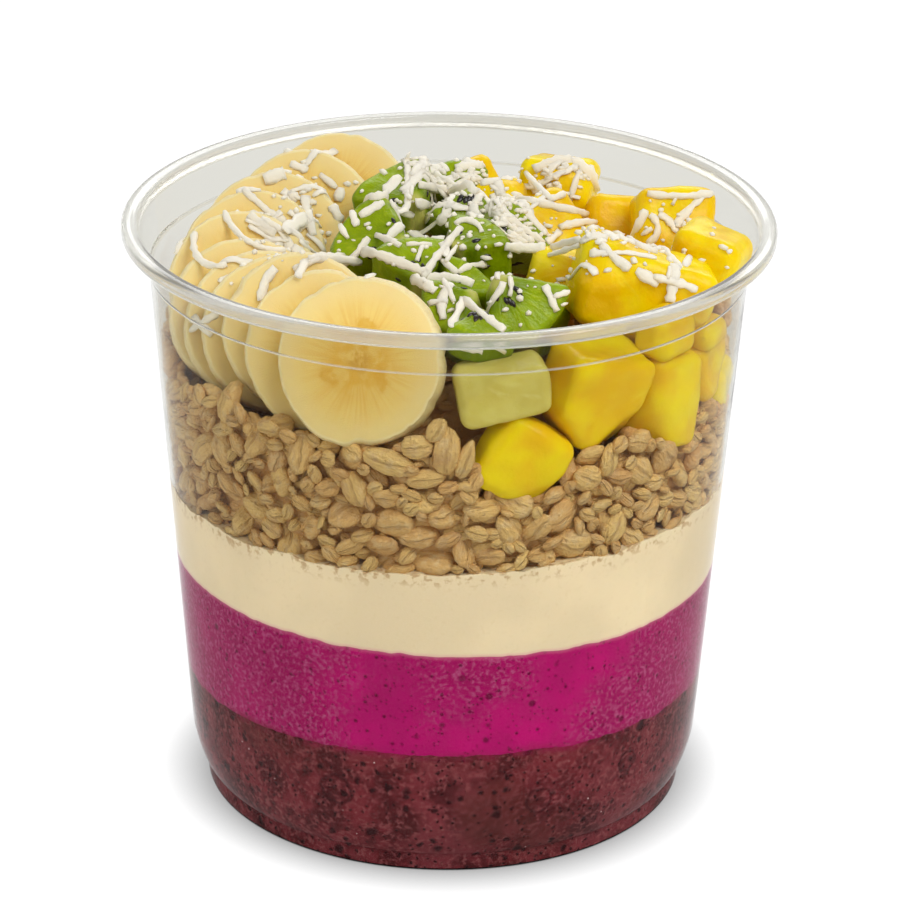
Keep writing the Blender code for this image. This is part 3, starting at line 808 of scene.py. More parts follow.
def cream_level(azimuth, share):
    top = bpy.context.scene.bowl_layers.cream_top
    slope = 1.1 * MM * share * math.sin(azimuth)
    return top + slope + wave(azimuth, share, 2.2, 0.4 * MM) + ragged(azimuth, share, 13.0, 0.7 * MM)


def base_level(azimuth, share):
    """The inside of the cup's base, just into the plastic."""
    return (0.35 * MM) if share > 0.93 else (BASE_RECESS + 0.35 * MM)


def layer(name, bottom, top, rows, steps):
    """A layer between two level functions. It is turned as a unit drum and then fitted to the cup."""
    shares = (0.0, 0.5, 0.85, 0.92, 0.94)
    profile = [(s, 0.0) for s in shares]
    profile += [(1.0, i / rows) for i in range(rows + 1)]
    profile += [(s, 1.0) for s in reversed(shares)]
    obj = spun(name, profile, steps)
    wall = bpy.context.scene.bowl_cup.wall
    points = coordinates(obj)
    below_top, above_base = np.empty(len(points)), np.empty(len(points))
    for i, (x, y, t) in enumerate(points):
        share = min(1.0, math.hypot(x, y))
        azimuth = math.atan2(x, -y)
        low, high = bottom(azimuth, share), top(azimuth, share)
        z = low + t * (high - low)
        below_top[i], above_base[i] = high - z, z - low
        radius = share * wall_radius(z, wall - REACH)
        points[i] = (radius * math.sin(azimuth), -radius * math.cos(azimuth), z)
    set_coordinates(obj, points)
    store_value(obj, "below_top", below_top)
    store_value(obj, "above_base", above_base)
    return obj


def pit(obj, spacing, share, depth, seed):
    """Presses small air pockets into the outside of a layer, where it meets the wall."""
    points = coordinates(obj)
    for i, (x, y, z) in enumerate(points):
        radius = math.hypot(x, y)
        if radius < FOOT_RADIUS - 1.5 * MM:
            continue
        distances, centres = noise.voronoi(Vector((x, y, z)) / spacing + Vector((seed, 0, 0)))
        chance = noise.cell(centres[0] * 7.3)
        if chance > share:
            continue
        size = 0.22 + 0.3 * chance / share
        dent = depth * float(ease(size - distances[0], 0.0, size * 0.7))
        points[i, :2] *= (radius - dent) / radius
    set_coordinates(obj, points)


class ACAIBOWL_OT_layers(bpy.types.Operator):
    """Pours the berry, pink fruit and cream layers, pressed against the cup"""
    bl_idname = "acai_bowl.layers"
    bl_label = "Layers"

    def execute(self, context):
        settings = context.scene.bowl_layers
        acai = layer("berry_layer", base_level, acai_level, 44, 400)
        smooth(acai, 60.0)
        give(acai, acai_finish(settings.acai), "acai_layer")
        pitaya = layer("pink_layer", acai_level, pitaya_level, 30, 400)
        smooth(pitaya, 60.0)
        give(pitaya, pitaya_finish(settings.pitaya), "pitaya_layer")
        cream = layer("cream_fill", pitaya_level, cream_level, 16, 300)
        smooth(cream, 60.0)
        give(cream, cream_finish(settings.cream), "cream_layer")
        return {"FINISHED"}


# ---- the granola --------------------------------------------------------------------------------------

def flake_shape(seed):
    """One oat flake as (points, faces, painted shade, place on the flake): a puffy oval with a crease."""
    rng = random.Random(seed)
    rings, sides = 6, 12
    points = [(0.0, 0.0, -1.0)]
    for i in range(1, rings):
        polar = math.pi * i / rings - math.pi / 2
        for j in range(sides):
            turn = 2 * math.pi * j / sides
            points.append((math.cos(polar) * math.cos(turn), math.cos(polar) * math.sin(turn),
                           math.sin(polar)))
    points.append((0.0, 0.0, 1.0))
    last = len(points) - 1
    faces = [(0, 1 + (j + 1) % sides, 1 + j) for j in range(sides)]
    for i in range(rings - 2):
        for j in range(sides):
            k = (j + 1) % sides
            a, b = 1 + i * sides, 1 + (i + 1) * sides
            faces.append((a + j, a + k, b + k, b + j))
    top = 1 + (rings - 2) * sides
    faces += [(top + j, top + (j + 1) % sides, last) for j in range(sides)]
    crease, taper = rng.uniform(0.02, 0.18), rng.uniform(0.0, 0.35)
    curl, lump = rng.uniform(-0.25, 0.3), rng.uniform(0.05, 0.16)
    offset = Vector((seed * 3.1, 0, 0))
    shaped, hollow = [], []
    for x, y, z in points:
        groove = math.exp(-(y / 0.3) ** 2) * (1 - min(1.0, abs(x)) ** 3) * crease
        bulge = noise.noise(Vector((x, y, z)) * 1.9 + offset)
        rough = noise.noise(Vector((x, y, z)) * 4.3 + offset)
        width = 1 - taper * max(0.0, x) ** 1.5
        swell = 1 + lump * bulge + 0.1 * rough
        shaped.append((x * swell, y * width * swell,
                       z * (1 - groove) * (1 + lump * bulge + 0.3 * rough) + curl * (x * x - 0.3)))
        # Painted shade mask: darkest in the crease, at the rim where flakes overlap, and in dents.
        rim = float(ease(math.hypot(x, y), 0.82, 1.0))
        hollow.append(min(1.0, 0.3 * groove + 0.5 * rim + 0.3 * max(0.0, -bulge)))
    return np.array(shaped), faces, np.array(hollow), np.array(points)


# Large flakes that lie against the wall in front: (x, z, length, width, heading in degrees), in millimetres.
PLACED_FLAKES = (
    (-10.0, 81.9, 10.2, 4.8, -15), (-16.0, 76.0, 7.2, 4.8, -65), (0.0, 84.4, 9.2, 4.8, 86),
    (3.4, 83.0, 7.6, 3.2, 74), (-5.2, 85.2, 5.8, 4.6, 10), (-3.6, 79.2, 7.2, 3.8, 10),
    (34.3, 75.5, 7.6, 5.4, -40), (-1.8, 88.6, 5.0, 3.4, 60), (28.6, 79.4, 6.4, 3.6, 80),
)


class Scatter:
    """Gathers copies of small shapes into one mesh with tone, painted shade and flake attributes."""

    def __init__(self):
        self.points, self.faces, self.tone, self.hollow, self.local = [], [], [], [], []
        self.count = 0

    def add(self, points, faces, tone, hollow=None, local=None):
        self.points.append(points)
        self.faces += [tuple(i + self.count for i in face) for face in faces]
        self.tone += [tone] * len(points)
        self.hollow += [0.0] * len(points) if hollow is None else list(hollow)
        self.local += [(0.0, 0.0, 0.0)] * len(points) if local is None else [tuple(p) for p in local]
        self.count += len(points)

    def build(self, name):
        obj = mesh_object(name, np.vstack(self.points), self.faces)
        store_value(obj, "tone", self.tone)
        store_value(obj, "hollow", self.hollow)
        store_vector(obj, "flake", self.local)
        smooth(obj)
        return obj


def spread_out(rng, count, tries, draw, spacing, taken=()):
    """Random draws (position, size), largest first, that keep their distance from each other."""
    kept = []
    places = np.array([tuple(place) for place, _ in taken]).reshape(-1, 3)
    sizes = np.array([size for _, size in taken])
    for _ in range(tries):
        if len(kept) >= count:
            break
        place, size, extra = draw(rng, len(kept))
        if len(places):
            apart = np.linalg.norm(places - place, axis=1)
            if (apart < spacing * (sizes + size) / 2).any():
                continue
        kept.append((place, size, extra))
        places = np.vstack([places, place])
        sizes = np.append(sizes, size)
    return kept


def tilted(rng, outward, level, spread):
    """(long, wide, thin) axes of a flake whose thin axis looks outward, give or take the spread."""
    thin = (outward + Vector([rng.gauss(0, spread) for _ in range(3)])).normalized()
    side = thin.cross(level)
    if side.length < 0.1:
        side = thin.orthogonal()
    side.normalize()
    up = side.cross(thin)
    turn = rng.gauss(0, 0.75)
    long = side * math.cos(turn) + up * math.sin(turn)
    return long, thin.cross(long).normalized(), thin


def press_inside(points, gap):
    """Keeps points inside the cup's wall, so that what touches it is flattened against it."""
    wall = bpy.context.scene.bowl_cup.wall
    radius = np.hypot(points[:, 0], points[:, 1])
    most = wall_radius(points[:, 2], wall + gap)
    factor = np.where(radius > most, most / np.maximum(radius, 1e-9), 1.0)
    points[:, 0] *= factor
    points[:, 1] *= factor
    return points


def tree_of(objects):
    """A search tree over the meshes of several objects."""
    points, faces = [], []
    for obj in objects:
        start = len(points)
        points += [v.co.copy() for v in obj.data.vertices]
        faces += [[start + i for i in p.vertices] for p in obj.data.polygons]
    return BVHTree.FromPolygons(points, faces)


def fruit_nodes():
    return [NODES[n] for n in sorted(NODES) if "slice" in n or "chunk" in n]


def granola_core(heap):
    """The crumb under the flakes, dark all over with painted shade: the heap's own shape, pulled in from the wall
    and the top.
    """
    core = copy_of("granola", "granola_core")
    apply_modifier(core, "TRIANGULATE")
    edit_all(core)
    bpy.ops.mesh.subdivide(number_cuts=2)
    bpy.ops.object.mode_set(mode="OBJECT")
    points = coordinates(core)
    for i, (x, y, z) in enumerate(points):
        radius = math.hypot(x, y)
        azimuth = math.atan2(x, -y)
        floor = cream_level(azimuth, min(1.0, radius / LEDGE_RADIUS))
        lump = noise.fractal(Vector((x, y, z)) / (3.0 * MM), 0.7, 2.0, 3) * MM
        pull = max(0.0, 1 - (wall_radius(z, 0.0) - radius) / (8 * MM)) * 2.4 * MM
        factor = (radius - pull - abs(lump) * 0.6) / max(radius, 1e-6) if radius > 10 * MM else 1.0
        drop = 1.9 * MM + lump * 0.7 if z > floor + 3 * MM else -0.8 * MM
        points[i] = (x * factor, y * factor, z - drop)
    set_coordinates(core, points)
    store_value(core, "tone", np.full(len(points), 0.1))
    # Painted shade over the whole core, so that it reads dark as the shade deep in the gaps between flakes.
    store_value(core, "hollow", np.full(len(points), 0.75))
    store_vector(core, "flake", np.full((len(points), 3), 0.5))
    smooth(core, 80.0)
    return core


class ACAIBOWL_OT_granola(bpy.types.Operator):
    """Fills in the granola: a crumb core dark with painted shade, flakes pressed to the wall, and loose flakes on
    the heap
    """
    bl_idname = "acai_bowl.granola"
    bl_label = "Granola"

    def execute(self, context):
        settings = context.scene.bowl_granola
        mean = settings.flake
        material = oat_finish(settings.colour)
        heap = tree_of([NODES["granola"]])
        fruit = tree_of(fruit_nodes())
        core = granola_core(heap)
        give(core, material, "granola")
        shapes = [flake_shape(seed) for seed in range(12)]
        wall = context.scene.bowl_cup.wall

        def heap_top(x, y):
            hit = heap.ray_cast(Vector((x, y, 0.2)), Vector((0, 0, -1)))[0]
            return hit.z if hit else 0.0

        def draw_wall(rng, number):
            azimuth = rng.uniform(-math.pi, math.pi)
            size = mean * (rng.uniform(1.05, 1.6) if number < 130 else rng.uniform(0.55, 1.05))
            reach = [LEDGE_RADIUS - inset * MM for inset in (3.5, 6.0, 9.0)]
            top = max(heap_top(r * math.sin(azimuth), -r * math.cos(azimuth)) for r in reach) + 1.4 * MM
            low = cream_level(azimuth, 1.0) - 0.2 * MM
            z = rng.uniform(low, max(top, low + 2 * MM))
            radius = float(wall_radius(z, wall)) - draw_wall.depth
            place = Vector((radius * math.sin(azimuth), -radius * math.cos(azimuth), z))
            return place, size, None

        def away(place):
            return Vector((place.x, place.y, 0.0)).normalized()

        def add_flakes(scatter, rng, kept, outward_of, spread, thick, clear):
            for place, size, _ in kept:
                axes = tilted(rng, outward_of(place), Vector((0, 0, 1)), spread)
                half = (size / 2, size * rng.uniform(0.28, 0.42), size * rng.uniform(*thick))
                centre = place - outward_of(place) * half[2]
                hit = fruit.find_nearest(centre)
                if hit[0] is not None and hit[3] < clear:
                    continue
                shape, faces, hollow, local = shapes[rng.randrange(len(shapes))]
                matrix = np.array([[c * h for c in a] for a, h in zip(axes, half)])
                points = shape @ matrix + np.array(centre)
                most = wall_radius(points[:, 2], wall + 0.05 * MM)
                over = (np.hypot(points[:, 0], points[:, 1]) - most).max() - 0.25 * MM
                points -= np.array(away(centre)) * max(0.0, over)
                scatter.add(press_inside(points, 0.05 * MM), faces, rng.random(), hollow, local)

        rng = random.Random(11)
        scatter = Scatter()
        taken = []
        for x, z, length, width, heading in PLACED_FLAKES:
            radius = float(wall_radius(z * MM, wall)) - 0.3 * MM
            outward = Vector((x * MM, -math.sqrt(radius ** 2 - (x * MM) ** 2), 0)).normalized()
            side = Vector((0, 0, 1)).cross(outward)
            turn = math.radians(heading)
            long = side * math.cos(turn) + Vector((0, 0, 1)) * math.sin(turn)
            half = (length / 2 * MM, width / 2 * MM, 1.2 * MM)
            centre = outward * (radius - half[2]) + Vector((0, 0, z * MM))
            shape, faces, hollow, local = shapes[rng.randrange(len(shapes))]
            axes = (long, outward.cross(long), outward)
            matrix = np.array([[c * h for c in a] for a, h in zip(axes, half)])
            points = press_inside(shape @ matrix + np.array(centre), 0.05 * MM)
            scatter.add(points, faces, 0.6 + 0.4 * rng.random(), hollow, local)
            taken.append((outward * radius + Vector((0, 0, z * MM)), 0.9 * length * MM))
        for depth, count, spacing in ((0.1 * MM, 900, 0.62), (1.8 * MM, 620, 0.64)):
            draw_wall.depth = depth
            kept = spread_out(rng, count, 12000, draw_wall, spacing, taken if depth < MM else ())
            add_flakes(scatter, rng, kept, away, 0.4, (0.15, 0.25), 0.8 * MM)
        flakes = scatter.build("granola_wall_flakes")
        give(flakes, material)

        def draw_top(rng, number):
            radius = 50.5 * MM * math.sqrt(rng.random())
            azimuth = rng.uniform(-math.pi, math.pi)
            x, y = radius * math.sin(azimuth), -radius * math.cos(azimuth)
            size = mean * (rng.uniform(1.1, 1.5) if number < 60 else rng.uniform(0.45, 1.05))
            return Vector((x, y, heap_top(x, y) - rng.uniform(0.0, 0.7) * MM)), size, None

        scatter = Scatter()
        kept = spread_out(rng, 620, 12000, draw_top, 0.6)
        add_flakes(scatter, rng, kept, lambda place: Vector((0, 0, 1)), 0.4, (0.15, 0.26), 0.6 * MM)
        flakes = scatter.build("granola_top_flakes")
        give(flakes, material)
        return {"FINISHED"}


# ---- the banana -----------------------------------------------------------------------------------------

def slice_axes(node):
    """(centre, axes, radius, thickness) of a round slice, read from its CAD solid."""
    points = np.array([v.co for v in NODES[node].data.vertices])
    unique = np.unique(np.round(points, 6), axis=0)
    centre = unique.mean(axis=0)
    _, vectors = np.linalg.eigh(np.cov((unique - centre).T))
    face = Vector(vectors[:, 0])
    if face.y > 0:
        face = -face
    right = Vector((0, 0, 1)).cross(face).normalized()
    up = face.cross(right)
    local = (unique - centre) @ np.array([right, up, face]).T
    radius = np.hypot(local[:, 0], local[:, 1]).max()
    return Vector(centre), (right, up, face), radius, np.ptp(local[:, 2])


def select_faces(obj, test):
    """Selects the faces whose centre and normal pass the test, in edit mode."""
    bpy.ops.object.mode_set(mode="OBJECT")
    for polygon in obj.data.polygons:
        polygon.select = test(polygon.center, polygon.normal)
    bpy.ops.object.mode_set(mode="EDIT")


def banana_slice(number):
    """One slice: a drum with ringed faces and a soft edge, made wavy and a little domed."""
    node = f"banana_slice_{number:02d}"
    centre, (right, up, face), radius, thickness = slice_axes(node)
    deselect()
    bpy.ops.mesh.primitive_cylinder_add(vertices=96, radius=radius, depth=thickness,
                                        end_fill_type="NGON")
    obj = bpy.context.active_object
    obj.name = node + "_flesh"
    bpy.ops.object.mode_set(mode="EDIT")
    bpy.ops.mesh.select_mode(type="FACE")
    for width in (1.1 * MM, 1.6 * MM, 2.2 * MM, 2.6 * MM, 2.8 * MM, 1.8 * MM):
        select_faces(obj, lambda c, n: abs(n.z) > 0.9 and math.hypot(c.x, c.y) < 0.2 * MM)
        bpy.ops.mesh.inset(thickness=width)
    for height in (-1.2 * MM, 0.0, 1.2 * MM):
        bpy.ops.mesh.select_all(action="SELECT")
        bpy.ops.mesh.bisect(plane_co=(0, 0, height), plane_no=(0, 0, 1))
    bpy.ops.object.mode_set(mode="OBJECT")
    rng = random.Random(40 + number)
    seed = Vector((rng.uniform(0, 50), rng.uniform(0, 50), 0))
    points = coordinates(obj)
    local = points.copy()
    for i, (x, y, z) in enumerate(points):
        share = math.hypot(x, y) / radius
        way = Vector((x, y, 0)) / max(math.hypot(x, y), 1e-9)
        height = z / (thickness / 2)
        waviness = noise.noise(way * 1.6 + seed) * 0.35 + noise.noise(way * 7.0 + seed) * 0.2
        nick = max(0.0, noise.noise(way * 4.2 + seed * 2 + Vector((0, 0, height * 0.5))) - 0.22)
        edge = share ** 3
        outward = (waviness - 1.3 * nick - 0.28) * MM * edge
        rounding = 0.42 * MM * float(ease(share, 0.93, 1.0)) * height ** 4
        scale = 1 + (outward - rounding) / max(radius * share, 1e-9) if share > 0.05 else 1.0
        dish = -0.28 * MM * (1 - share ** 2) ** 2
        relief = 0.16 * MM * noise.fractal(Vector((x, y, 0)) * 260 + seed, 0.8, 2.0, 3)
        lift = (dish + relief - 0.22 * MM * float(ease(share, 0.9, 1.0))) * height
        points[i] = (x * scale, y * scale, z + (lift if abs(height) > 0.95 else 0.0))
    matrix = Matrix([right, up, face]).transposed()
    set_coordinates(obj, points @ np.array(matrix).T + np.array(centre))
    store_vector(obj, "disc", local / np.array([radius, radius, thickness]))
    store_value(obj, "piece", np.full(len(points), number * 0.37 % 1.0))
    smooth(obj, 50.0)
    return obj, node


class ACAIBOWL_OT_banana(bpy.types.Operator):
    """Lays the fan of banana slices"""
    bl_idname = "acai_bowl.banana"
    bl_label = "Banana Slices"

    def execute(self, context):
        material = banana_finish(context.scene.bowl_fruit.banana)
        count = sum(n.startswith("banana_slice") for n in NODES)
        for number in range(1, count + 1):
            obj, node = banana_slice(number)
            give(obj, material, node)
        return {"FINISHED"}


# ---- the other fruit --------------------------------------------------------------------------------------

def plump(obj, voxel, passes, wobble, ridge, seed, growth):
    """Turns a faceted chunk into soft flesh: an even fine mesh, rounded, with lumps and cut ridges."""
    apply_modifier(obj, "REMESH", mode="VOXEL", voxel_size=voxel, use_smooth_shade=True)
    apply_modifier(obj, "SMOOTH", factor=0.5, iterations=passes)
    points, facing = coordinates(obj), normals(obj)
    offset = Vector((seed * 1.7, seed * 0.9, seed * 2.3))
    way = Vector((math.sin(seed), math.cos(seed * 1.3), math.sin(seed * 2.1))).normalized()
    for i in range(len(points)):
        place = Vector(points[i])
        lump = noise.fractal(place / (7.0 * MM) + offset, 0.9, 2.0, 2) * wobble
        cut = noise.noise(way * (place.dot(way) / (0.9 * MM)) + place / (5.0 * MM) + offset) * ridge
        points[i] += facing[i] * (lump + cut + growth)
    set_coordinates(obj, press_inside(points, 0.05 * MM))
    smooth(obj)


def wedge_axes(obj):
    """(core point, (outward, sideways, along) axes, radius) of a kiwi wedge, read from its flat faces."""
    faces = sorted(obj.data.polygons, key=lambda p: -p.area)[:9]
    pairs = [(a.area + b.area, a, b) for i, a in enumerate(faces) for b in faces[i + 1:]
             if a.normal.dot(b.normal) < -0.999]
    along = max(pairs, key=lambda pair: pair[0])[1].normal.copy()
    if along.z < 0:
        along = -along
    cuts = [p for p in faces if abs(p.normal.dot(along)) < 0.05][:2]
    centre = Vector(coordinates(obj).mean(axis=0))
    planes = Matrix([cuts[0].normal, cuts[1].normal, along])
    distances = Vector((cuts[0].normal.dot(cuts[0].center), cuts[1].normal.dot(cuts[1].center),
                        along.dot(centre)))
    core = planes.inverted() @ distances
    outward = centre - core
    outward = (outward - along * outward.dot(along)).normalized()
    points = coordinates(obj) - np.array(core)
    radius = np.abs(points @ np.array(outward)).max()
    return core, (outward, along.cross(outward), along), radius


def kiwi_seeds(scatter, obj, frame_of, rng, shape):
    """Seeds half sunk in every cut face, in a ring round the core."""
    core, (outward, sideways, along), radius = frame_of
    tree = tree_of([obj])
    points, faces = shape
    for _ in range(16):
        angle = rng.uniform(-0.75, 0.75)
        reach = radius * rng.gauss(0.4, 0.09)
        radial = outward * math.cos(angle) + sideways * math.sin(angle)
        if rng.random() < 0.55:
            start = core + radial * reach + along * rng.choice((-1, 1)) * radius
            aim = along if (start - core).dot(along) < 0 else -along
        else:
            side = rng.choice((-1, 1))
            aim = sideways * -side
            start = core + outward * reach + along * rng.uniform(-4, 4) * MM - aim * radius * 2
        hit, normal, _, _ = tree.ray_cast(start, aim)
        if hit is None or not 0.26 < ((hit - core) - along * (hit - core).dot(along)).length / radius < 0.6:
            continue
        long = (radial - normal * radial.dot(normal)).normalized()
        if long.length < 0.5:
            continue
        half = Vector((0.95, 0.5, 0.32)) * MM * rng.uniform(0.8, 1.1)
        wide = normal.cross(long)
        matrix = np.array([long * half.x, wide * half.y, normal * half.z])
        scatter.add(points @ matrix + np.array(hit - normal * 0.1 * MM), faces, 0.5)


class ACAIBOWL_OT_kiwi(bpy.types.Operator):
    """Cuts the kiwi wedges and sets their seeds"""
    bl_idname = "acai_bowl.kiwi"
    bl_label = "Kiwi"

    def execute(self, context):
        material = kiwi_finish(context.scene.bowl_fruit.kiwi)
        rng = random.Random(5)
        scatter = Scatter()
        deselect()
        bpy.ops.mesh.primitive_uv_sphere_add(segments=8, ring_count=6, radius=1.0)
        seed = bpy.context.active_object
        shape = coordinates(seed)
        shape[:, 1] *= 1 - 0.4 * np.clip(shape[:, 0], 0, 1)
        seed_faces = [tuple(p.vertices) for p in seed.data.polygons]
        bpy.data.objects.remove(seed)
        for i, node in enumerate(sorted(n for n in NODES if n.startswith("kiwi_chunk"))):
            obj = copy_of(node, node + "_flesh")
            axes = wedge_axes(obj)
            plump(obj, 0.42 * MM, 4, 0.4 * MM, 0.06 * MM, 2.0 + i, 0.45 * MM)
            core, (outward, sideways, along), radius = axes
            local = (coordinates(obj) - np.array(core)) @ np.array([outward, sideways, along]).T
            store_vector(obj, "wedge", local / radius)
            store_value(obj, "piece", np.full(len(local), i * 0.37 % 1.0))
            give(obj, material, node)
            kiwi_seeds(scatter, obj, axes, rng, (shape, seed_faces))
        seeds = scatter.build("kiwi_seeds")
        give(seeds, seed_finish())
        return {"FINISHED"}


def grain_axes(obj, seed):
    """Stores each point's place along the piece's own grain."""
    rng = random.Random(seed)
    turn = Matrix.Rotation(rng.uniform(0, 6.28), 3, Vector([rng.uniform(-1, 1) for _ in range(3)]))
    store_vector(obj, "grain", coordinates(obj) @ np.array(turn).T)


class ACAIBOWL_OT_mango(bpy.types.Operator):
    """Cuts the mango dice and the pale chunk at the wall"""
    bl_idname = "acai_bowl.mango"
    bl_label = "Mango"

    def execute(self, context):
        settings = context.scene.bowl_fruit
        mango = juicy_finish("mango_flesh", settings.mango, tint(242, 194, 0), tint(253, 228, 60),
                             (1.0, 0.8, 0.1))
        pale = juicy_finish("pale_flesh", settings.pale, tint(210, 194, 92), tint(240, 230, 150),
                            (0.8, 1.0, 0.3))
        chunks = sorted(n for n in NODES if n.startswith("mango_chunk"))
        for i, node in enumerate(chunks + ["pale_fruit_chunk"]):
            obj = copy_of(node, node + "_flesh")
            growth = 0.25 * MM if node == "pale_fruit_chunk" else 0.9 * MM
            plump(obj, 0.45 * MM, 5, 0.45 * MM, 0.03 * MM, 30.0 + 1.3 * i, growth)
            grain_axes(obj, i)
            if node == "pale_fruit_chunk":
                give(obj, pale, node)
            else:
                give(obj, mango, node)
        return {"FINISHED"}


# ---- the coconut --------------------------------------------------------------------------------------------

# The shreds that were laid on one by one, as seen looking down at the fruit from the front:
# (across, up, heading in degrees, length, width, curl in degrees), in millimetres.
LAID_SHREDS = (
    (-15.5, 93, -16, 12.5, 1.6, -8), (-18.5, 90.5, 43, 6.5, 1.2, 15), (-4.5, 88, 60, 11.5, 1.2, -12),
    (1, 98, 35, 6, 0.9, -120), (-7, 100.5, -49, 7.5, 1.5, -15), (0.5, 103, -118, 5, 1.3, 0),
    (-10, 102, -34, 4, 1.1, 20), (-13, 96, -26, 5, 1.1, 0), (-11, 95, 56, 4, 1.5, -20),
    (-7.5, 94, 5, 4.5, 0.8, -10), (-4.5, 87.5, 15, 9, 1.6, -40), (-6.5, 88, -32, 5, 1.5, 0),
    (-1, 87.5, -60, 4.5, 0.9, -10), (-3.5, 83, 20, 3.5, 1.1, -30), (0.5, 79, 64, 5.5, 1.3, 8),
    (2.5, 84, -42, 9, 1.3, 8), (5, 84.5, 66, 9.5, 1.4, 10), (10.5, 84.5, 75, 3.5, 0.8, 40),
    (-0.5, 91, 58, 3.5, 0.7, 0), (-1.5, 91.5, -41, 4, 0.9, 0), (1.5, 89, 35, 5.5, 1.1, -40),
    (0, 104.5, 40, 5.5, 2.0, -90), (-5.5, 106, -3, 5, 1.5, 0), (-11.5, 104.5, 50, 4, 2.2, 0),
    (-7, 104, 85, 2, 0.8, 0), (-6, 102.5, 3, 2.5, 1.6, 0), (-16, 99.5, 30, 5, 1.4, 0),
    (-15.5, 102.5, 10, 4.5, 1.5, 10), (-17.5, 100.5, -70, 3, 1.1, 0), (-19.5, 98, -66, 3, 0.9, 20),
    (-3, 109, -30, 5, 1.2, 0), (1, 106.5, 36, 3.5, 1.0, 0), (4, 102.5, -70, 3.5, 1.4, 15),
    (6.5, 102, -30, 12.5, 1.3, -8), (9, 99.5, -36, 7.5, 1.2, 0), (10.5, 97, -40, 4, 1.3, 15),
    (10, 94, -5, 7, 1.8, 10), (15.5, 89.5, -46, 5.5, 0.9, 0), (16.5, 86.5, -64, 5, 1.2, 0),
    (18, 84.5, 20, 3, 0.8, 0), (-6.5, 107.5, 60, 3, 1.8, 0), (1, 110, 15, 5, 1.5, -20),
    (14, 109.5, -58, 7.5, 1.0, 10), (15, 108, -70, 2.5, 1.1, 0), (24, 110, -112, 6, 0.9, 10),
    (22, 112, -20, 8, 1.8, -60), (15.5, 110, 30, 7.5, 1.6, -35), (19, 106.5, 0, 1.6, 2.0, 0),
    (12, 104, -14, 13.5, 1.3, 5), (12.5, 101.5, 95, 3.5, 1.4, 0), (18, 103.5, 25, 4.5, 1.0, 0),
    (9, 105, -24, 4, 0.9, 10), (20, 98.5, 20, 7, 1.3, -20), (25.5, 99.5, -35, 4.5, 1.0, 0),
    (28.5, 96.5, 30, 4, 1.2, -40), (31, 95.5, -40, 6, 1.4, 30), (31.5, 97, -28, 8.5, 1.5, -5),
    (37, 94, -46, 5, 1.2, -10), (33, 96.5, 66, 5.5, 1.4, 0), (35.5, 95.5, 27, 6.5, 1.1, 130),
    (34.5, 97, 32, 2.2, 0.7, 0), (38.5, 95.5, -80, 2.2, 0.6, 0), (41, 90.5, 55, 2.4, 1.0, 0),
    (24.5, 92.5, 0, 3, 1.2, 0), (26.5, 94, -48, 6.5, 1.4, 15), (32.5, 89.5, -30, 4.5, 1.8, 0),
    (35.5, 88.5, -12, 8, 1.3, -8), (38, 88, 80, 2.3, 0.8, 0), (35.5, 104.5, -8, 12, 1.2, 20),
    (40, 102.5, 65, 2, 0.7, 0), (34.5, 105.5, 20, 3, 1.1, -40), (18, 94, 12, 5, 1.2, 0),
    (17.5, 92.5, 16, 5.5, 0.9, 0), (17.5, 95.5, 35, 3.5, 1.3, 20),
    (-45.5, 96.5, -105, 11, 1.1, 130), (-40.5, 100.5, -68, 14.5, 1.0, 75), (-37.5, 105, -45, 10, 1.1, 15),
    (-34, 107, 20, 4, 2.4, 0), (-29.5, 104.5, -30, 2, 1.5, 0), (-36, 100, -45, 6, 2.0, 20),
    (-29.5, 97, 40, 4.7, 2.2, 0), (-34, 99, -25, 5, 1.3, 0), (-24, 108.5, -38, 4, 1.0, 0),
    (-20.5, 103.5, 80, 2.6, 1.6, 0), (-21.5, 102.5, -60, 3.5, 1.6, 0), (-32.5, 83.5, 90, 6.5, 1.6, -50),
    (-26, 87.5, 70, 3.5, 1.5, 0), (-27, 89, 30, 9, 1.1, -20), (-24.5, 91, 5, 9, 1.5, -10),
    (-26.5, 117, -68, 4.5, 1.0, 0), (-49, 95.5, 25, 5, 1.0, 0), (-49, 92.5, 65, 3.5, 1.0, 0),
    (-44.5, 102, 15, 4.5, 1.4, 0), (-29.5, 110.5, -20, 3.5, 1.3, 0), (-45.5, 78.5, 30, 6, 1.2, 0),
    (-45, 81, -45, 5, 1.4, 10), (2, 75.5, -10, 4, 1.0, 0), (7.5, 76, -30, 2.6, 0.8, 0),
)
LOOKING = Vector((0.0, 0.918, -0.396))
UPWARDS = Vector((0.0, 0.396, 0.918))

# Where more shreds and crumbs fall from above: (x, y, spread across, spread back, shreds, crumbs).
COCONUT_PATCHES = (
    (-27, 14, 9, 20, 22, 110),
    (0, 6, 13, 22, 38, 220),
    (11, 10, 6, 14, 22, 200),
    (30, -12, 12, 8, 10, 80),
    (19, 31, 8, 5, 6, 50),
    (42, 6, 8, 8, 4, 24),
    (-6, -26, 12, 6, 6, 30),
    (-2, 28, 10, 7, 22, 140),
    (10, -28, 8, 6, 2, 14),
    (-34, -10, 8, 12, 2, 16),
)
FALLING = Vector((0.0, 0.42, -0.908))
SHRED_SIDES = 8


